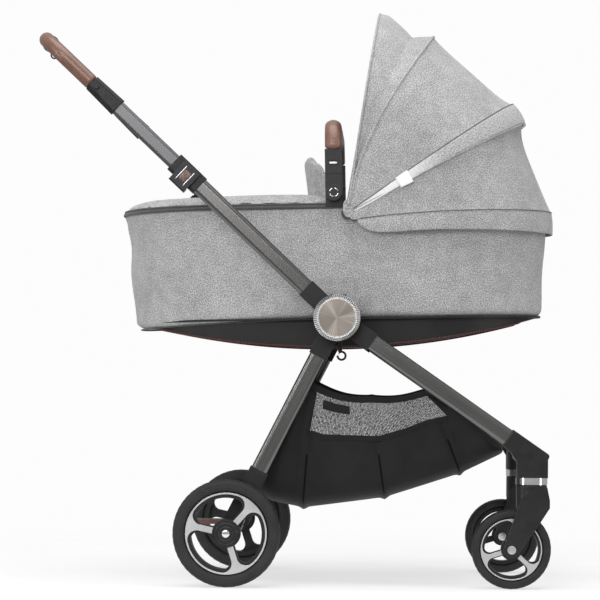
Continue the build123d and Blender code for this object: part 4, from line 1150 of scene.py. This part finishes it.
# ---- shopping basket ---------------------------------------------------------------------
# A bag of black polyester hangs between the legs.  Its top is bound with a wide tape that
# sags between the hooks, each side has a window of pale melange mesh, and three seams gather it.
BASKET_HALF = 220.6
SEAMS = (0.33, 0.55, 0.77)
KNOTS = (0.0, 0.18, 0.24, 0.33, 0.55, 0.77, 0.94, 1.0)
FLOOR_X = (-55, -160, -125, -63, 92, 235, 314, 312)
FLOOR_Z = (-112, -325, -345, -356, -334, -288, -250, -236)
TOP_X = (-55, -50, -49, -47, 63, 172, 290, 312)
TOP_Z = (-112, -116, -118, -120, -146, -131, -219, -236)
nylon, tree, skin, place = shader("black_polyester", (0.008, 0.008, 0.009), 0.66, Sheen_Weight=0.03,
                                  Specular_IOR_Level=0.2)
place = own_uv(tree)
warp = node(tree, "ShaderNodeTexWave", {"Vector": place, "Scale": 330.0}, bands_direction="X").outputs["Fac"]
weft = node(tree, "ShaderNodeTexWave", {"Vector": place, "Scale": 330.0}, bands_direction="Y").outputs["Fac"]
worn = noise(tree, place, 16.0, 5.0)
paint(tree, skin, two_tone(tree, spread(tree, worn, 0, 1), (0.006, 0.006, 0.0065), (0.013, 0.013, 0.014)))
polish(tree, skin, spread(tree, worn, 0.56, 0.74))
bump(tree, skin, maths(tree, "MAXIMUM", warp, weft), 0.0002, 0.5)


def run_through(share, knots, values):
    """A smooth line through knots: straight runs averaged over a short stretch on each side."""
    stretch = np.linspace(-0.018, 0.018, 9)
    near = np.clip(np.asarray(share)[..., None] + stretch, 0, 1)
    return np.interp(near, knots, values).mean(-1)


def bag_side(share, down):
    """A side panel: straight lines from the top edge down to the floor's edge, in the side view,
    with a small ear at the foot of each seam.  Millimetres from the hub."""
    top_x, top_z = run_through(share, KNOTS, TOP_X), run_through(share, KNOTS, TOP_Z)
    sag = 9.0 * np.sin(pi * np.clip((share - SEAMS[0]) / 0.22, 0, 1))
    sag = sag + 7.0 * np.sin(pi * np.clip((share - SEAMS[1]) / 0.22, 0, 1))
    low_x, low_z = run_through(share, KNOTS, FLOOR_X), run_through(share, KNOTS, FLOOR_Z)
    ear = sum(np.exp(-((share - s) / 0.009) ** 2) for s in SEAMS)
    low_z = low_z - 5.0 * ear
    return top_x + (low_x - top_x) * down, top_z - sag * (1 - down) + (low_z - top_z) * down


def bag_half(share, down):
    """Half the bag's width at a point: its frame's, less the cloth's slack and two slow folds."""
    slack = 9.0 * np.sin(pi * np.clip(down, 0, 1)) ** 1.2 * np.sin(pi * share) ** 0.6
    folds = 2.2 * np.sin(share * 46 + 2.4 * down) + 1.4 * np.sin(share * 83 - 3 * down)
    return BASKET_HALF - 2.0 - slack - 0.7 * np.clip(folds * np.sin(pi * down), -3, 3)


def hang(made):
    """Fix a piece of the basket to the chassis, with its own copy of its mesh."""
    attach(made, "chassis")
    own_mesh(made)


share = np.linspace(0.0, 1.0, 150)[:, None]
q = np.linspace(0, pi, 96)[None, :]
side = -np.sign(np.cos(q)) * np.abs(np.cos(q)) ** 0.28
down = np.sin(q) ** 0.34
x, z = bag_side(share + 0 * q, down + 0 * share)
pull = sum(np.exp(-((share - s) / 0.010) ** 2) for s in SEAMS)
half = bag_half(share, down) - 2.8 * pull * (down > 0.35)
half = half - 30.0 * np.clip((share - 0.86) / 0.14, 0, 1) ** 2
belly = 5.0 * (1 - side ** 2) * np.sin(pi * share) * (down > 0.9)
points = np.stack([HUB_MM[0] + x, side * half, HUB_MM[1] + z - belly], -1)
bag, flat, area = cloth("basket_bag", points, 1.6, (HUB_MM[0] + 60, 0, HUB_MM[1] - 150), [nylon])
hang(bag)
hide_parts("basket")

mesh_cloth, tree, skin, place = shader("melange_mesh", grey(0.4), 0.85, Sheen_Weight=0.1)
place = own_uv(tree)
stretched = node(tree, "ShaderNodeMapping", {"Vector": place, "Scale": (1.0, 0.6, 1.0)}).outputs[0]
flecks = noise(tree, stretched, 620.0, 2.0, 0.6)
warp = node(tree, "ShaderNodeTexWave", {"Vector": place, "Scale": 130.0, "Distortion": 2.0},
            bands_direction="X").outputs["Fac"]
yarn = maths(tree, "MULTIPLY_ADD", flecks, warp, maths(tree, "MULTIPLY", warp, 0.12))
paint(tree, skin, two_tone(tree, spread(tree, yarn, 0, 1, 0.46, 0.66), grey(0.012), (0.92, 0.92, 0.91)))
bump(tree, skin, yarn, 0.0005, 0.7)


def find_on_bag(x, z):
    """The share and depth of a point of the side panel, by Newton steps on its formula."""
    share, down, small = 0.33 + 0.44 * (x + 50) / 225, 0.3 + 0 * x, 1e-3
    for _ in range(30):
        x0, z0 = bag_side(share, down)
        xs, zs = bag_side(share + small, down)
        xd, zd = bag_side(share, down + small)
        a, b, c, d = (xs - x0) / small, (xd - x0) / small, (zs - z0) / small, (zd - z0) / small
        det = a * d - b * c
        share = np.clip(share + 0.6 * (d * (x - x0) - b * (z - z0)) / det, 0.2, 0.95)
        down = np.clip(down + 0.6 * (a * (z - z0) - c * (x - x0)) / det, 0.004, 0.95)
    return share, down


def on_side(share, down, sign, proud):
    """Points that lie on the bag's side, a little proud of it."""
    x, z = bag_side(share, down)
    q_side = (1 - down ** (2 / 0.34)) ** 0.5
    half = bag_half(share, down) * np.abs(q_side) ** 0.28 + proud
    return np.stack([HUB_MM[0] + x, sign * half, HUB_MM[1] + z], -1)


tape_black, tree, skin, place = shader("black_webbing", (0.008, 0.008, 0.009), 0.7, Sheen_Weight=0.04,
                                       Specular_IOR_Level=0.2)
place = own_uv(tree)
ribs = node(tree, "ShaderNodeTexWave", {"Vector": place, "Scale": 210.0}, bands_direction="X").outputs["Fac"]
paint(tree, skin, two_tone(tree, ribs, (0.005, 0.005, 0.0055), (0.014, 0.014, 0.015)))
bump(tree, skin, ribs, 0.0004, 0.7)
seam_cord, tree, skin, place = shader("seam_cord", grey(0.002), 0.8, Specular_IOR_Level=0.1)
lay_of = noise(tree, place, 700.0)
paint(tree, skin, two_tone(tree, lay_of, grey(0.0012), grey(0.004)))
u = np.linspace(0, 1, 90)[:, None]
v = np.linspace(0, 1, 26)[None, :]
for side_name, sign in (("right", -1), ("left", 1)):
    middle = (HUB_MM[0] + 60, 0, HUB_MM[1] - 200)
    low_x = -50 + 258 * u
    low_z = run_through(u, (0, 0.1, 0.5, 0.68, 0.86, 1), (-211, -219, -221, -207, -189, -181))
    top_x, top_z = -37 + 199 * u, -136 - 19 * np.sin(pi * u)
    s, d = find_on_bag(top_x + (low_x - top_x) * v, top_z + (low_z - top_z) * v)
    window, flat, area = cloth(f"basket_window_{side_name}", on_side(s, d, sign, 0.9), 0.7, middle,
                               [mesh_cloth])
    hang(window)
    band, flat, area = cloth(f"basket_top_tape_{side_name}",
                             on_side(0.30 + 0.52 * u, 0.006 + 0.052 * v + 0 * u, sign, 1.3), 1.0,
                             middle, [tape_black])
    hang(band)
    hem = on_side(*find_on_bag(low_x + 0 * v, low_z + 1.5 - 10 * v), sign, 1.1)
    hem, flat, area = cloth(f"basket_lower_tape_{side_name}", hem, 1.0, middle, [tape_black])
    hang(hem)
    for k, at in enumerate((0.33, 0.55, 0.77)):
        run = np.linspace(0.56, 0.955, 40)
        seam = on_side(np.full(40, at), run, sign, -2.0)
        hang(piping(f"basket_seam_{side_name}_{k}", seam, 1.3, seam_cord, None, up=(0, 1, 0)))
patch = on_side(0.375 + 0.095 * u, 0.10 + 0.075 * v + 0 * u, -1, 2.3)
tag, flat, area = cloth("basket_blank_tag", patch, 0.7, middle, [nylon])
hang(tag)

# ---- wrist strap and rivets --------------------------------------------------------------
# A webbing loop is sewn round the push bar and holds a small ring; a domed rivet pins each
# handle collar to its arm.
RIVET_REACH, RIVET_OUT, STRAP_Y = 618.0, 286.2, -153.0
reach_x = HUB_MM[0] + HANDLE_REACH * cos(arm)
reach_z = HUB_MM[1] + HANDLE_REACH * sin(arm)
turn = np.linspace(0, 2 * pi, 64, endpoint=False)[:, None]
v = np.linspace(-7, 7, 9)[None, :]
r = 15.6 + 0.5 * np.cos(v / 7 * pi / 2)
points = np.stack([reach_x + r * np.cos(turn), STRAP_Y + v + 0 * turn, reach_z + r * np.sin(turn)], -1)
strap, flat, area = cloth("wrist_strap_webbing", points, 1.1, (reach_x, STRAP_Y, reach_z), [tape_black], True)
a = np.linspace(0, 2 * pi, 48, endpoint=False)
ring = np.stack([reach_x + 7 + 6.4 * np.cos(a), np.full(48, STRAP_Y), reach_z - 21.5 + 6.4 * np.sin(a)], -1)
loop = piping("wrist_strap_ring", ring, 1.5, black_plastic, "handle_upper", True, up=(0, 1, 0))
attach(strap, "handle_upper")
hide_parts("wrist_strap")

for side_name, sign in (("left", 1), ("right", -1)):
    u = np.linspace(0, pi / 2, 9)[:, None]
    v = np.linspace(0, 2 * pi, 32, endpoint=False)[None, :]
    base = on_arm(np.array([RIVET_REACH, sign * RIVET_OUT, 0]))
    rings = np.array([0, sign * 1.6, 0]) * np.cos(u)[..., None]
    spoke = np.cos(v)[..., None] * ARM_DIRECTION + np.sin(v)[..., None] * ARM_NORMAL
    flat_part = 6.0 * np.sin(u)[..., None] * spoke
    dome = base + rings + flat_part
    under = base - np.array([0, sign * 0.8, 0]) + 0 * rings + flat_part
    points = np.concatenate([dome, under[::-1]], 0)
    faces, _, _ = lattice(points, False, True)
    rivet = piece(f"collar_rivet_{side_name}", points, faces.tolist(), None, [black_plastic])
    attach(rivet, "handle_upper")

# ---- clamp inlays and hub buttons --------------------------------------------------------
# A dull brown pad is let into each clamp lever between two bright lines, and a chrome button
# closes the middle of each rear hub cap.
inlay, tree, skin, place = shader("clamp_inlay", (0.1, 0.06, 0.05), 0.35, 0.4)
specks = noise(tree, place, 260.0, 4.0)
paint(tree, skin, two_tone(tree, spread(tree, specks, 0, 1), (0.05, 0.035, 0.032), (0.20, 0.12, 0.10)))
bump(tree, skin, specks, 0.0001, 0.5)


def on_hub(points):
    """Coordinates from the hub, made the stroller's."""
    return points + HUB_POINT


for side_name, sign in (("left", 1), ("right", -1)):
    low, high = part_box(f"clamp_lever_{side_name}")
    centre = np.array([(low.x + high.x) * 500 - HUB_MM[0], 0, (low.z + high.z) * 500 - HUB_MM[1]])
    outside = (high.y if sign > 0 else low.y) * 1000
    at, off = float(centre @ ARM_DIRECTION), float(centre @ ARM_NORMAL)
    pad_of = slab(f"clamp_inlay_{side_name}", (at, outside, off), (7.5, 0.7, 11.0), 4, inlay, on_arm)
    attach(pad_of, f"lever_{side_name}")
    for k, shift in enumerate((-9.5, 9.5)):
        line = slab(f"clamp_line_{side_name}_{k}", (at + shift, outside, off), (0.9, 0.7, 16.0), 5,
                    steel, on_arm)
        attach(line, f"lever_{side_name}")
    low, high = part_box(f"rear_hub_cap_{side_name}")
    middle = ((low.x + high.x) * 500 - HUB_MM[0], (high.y if sign > 0 else low.y) * 1000,
              (low.z + high.z) * 500 - HUB_MM[1])
    button = slab(f"hub_button_{side_name}", middle, (7.0, 1.3, 7.0), 2, chrome, on_hub)
    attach(button, f"rear_wheel_{side_name}")
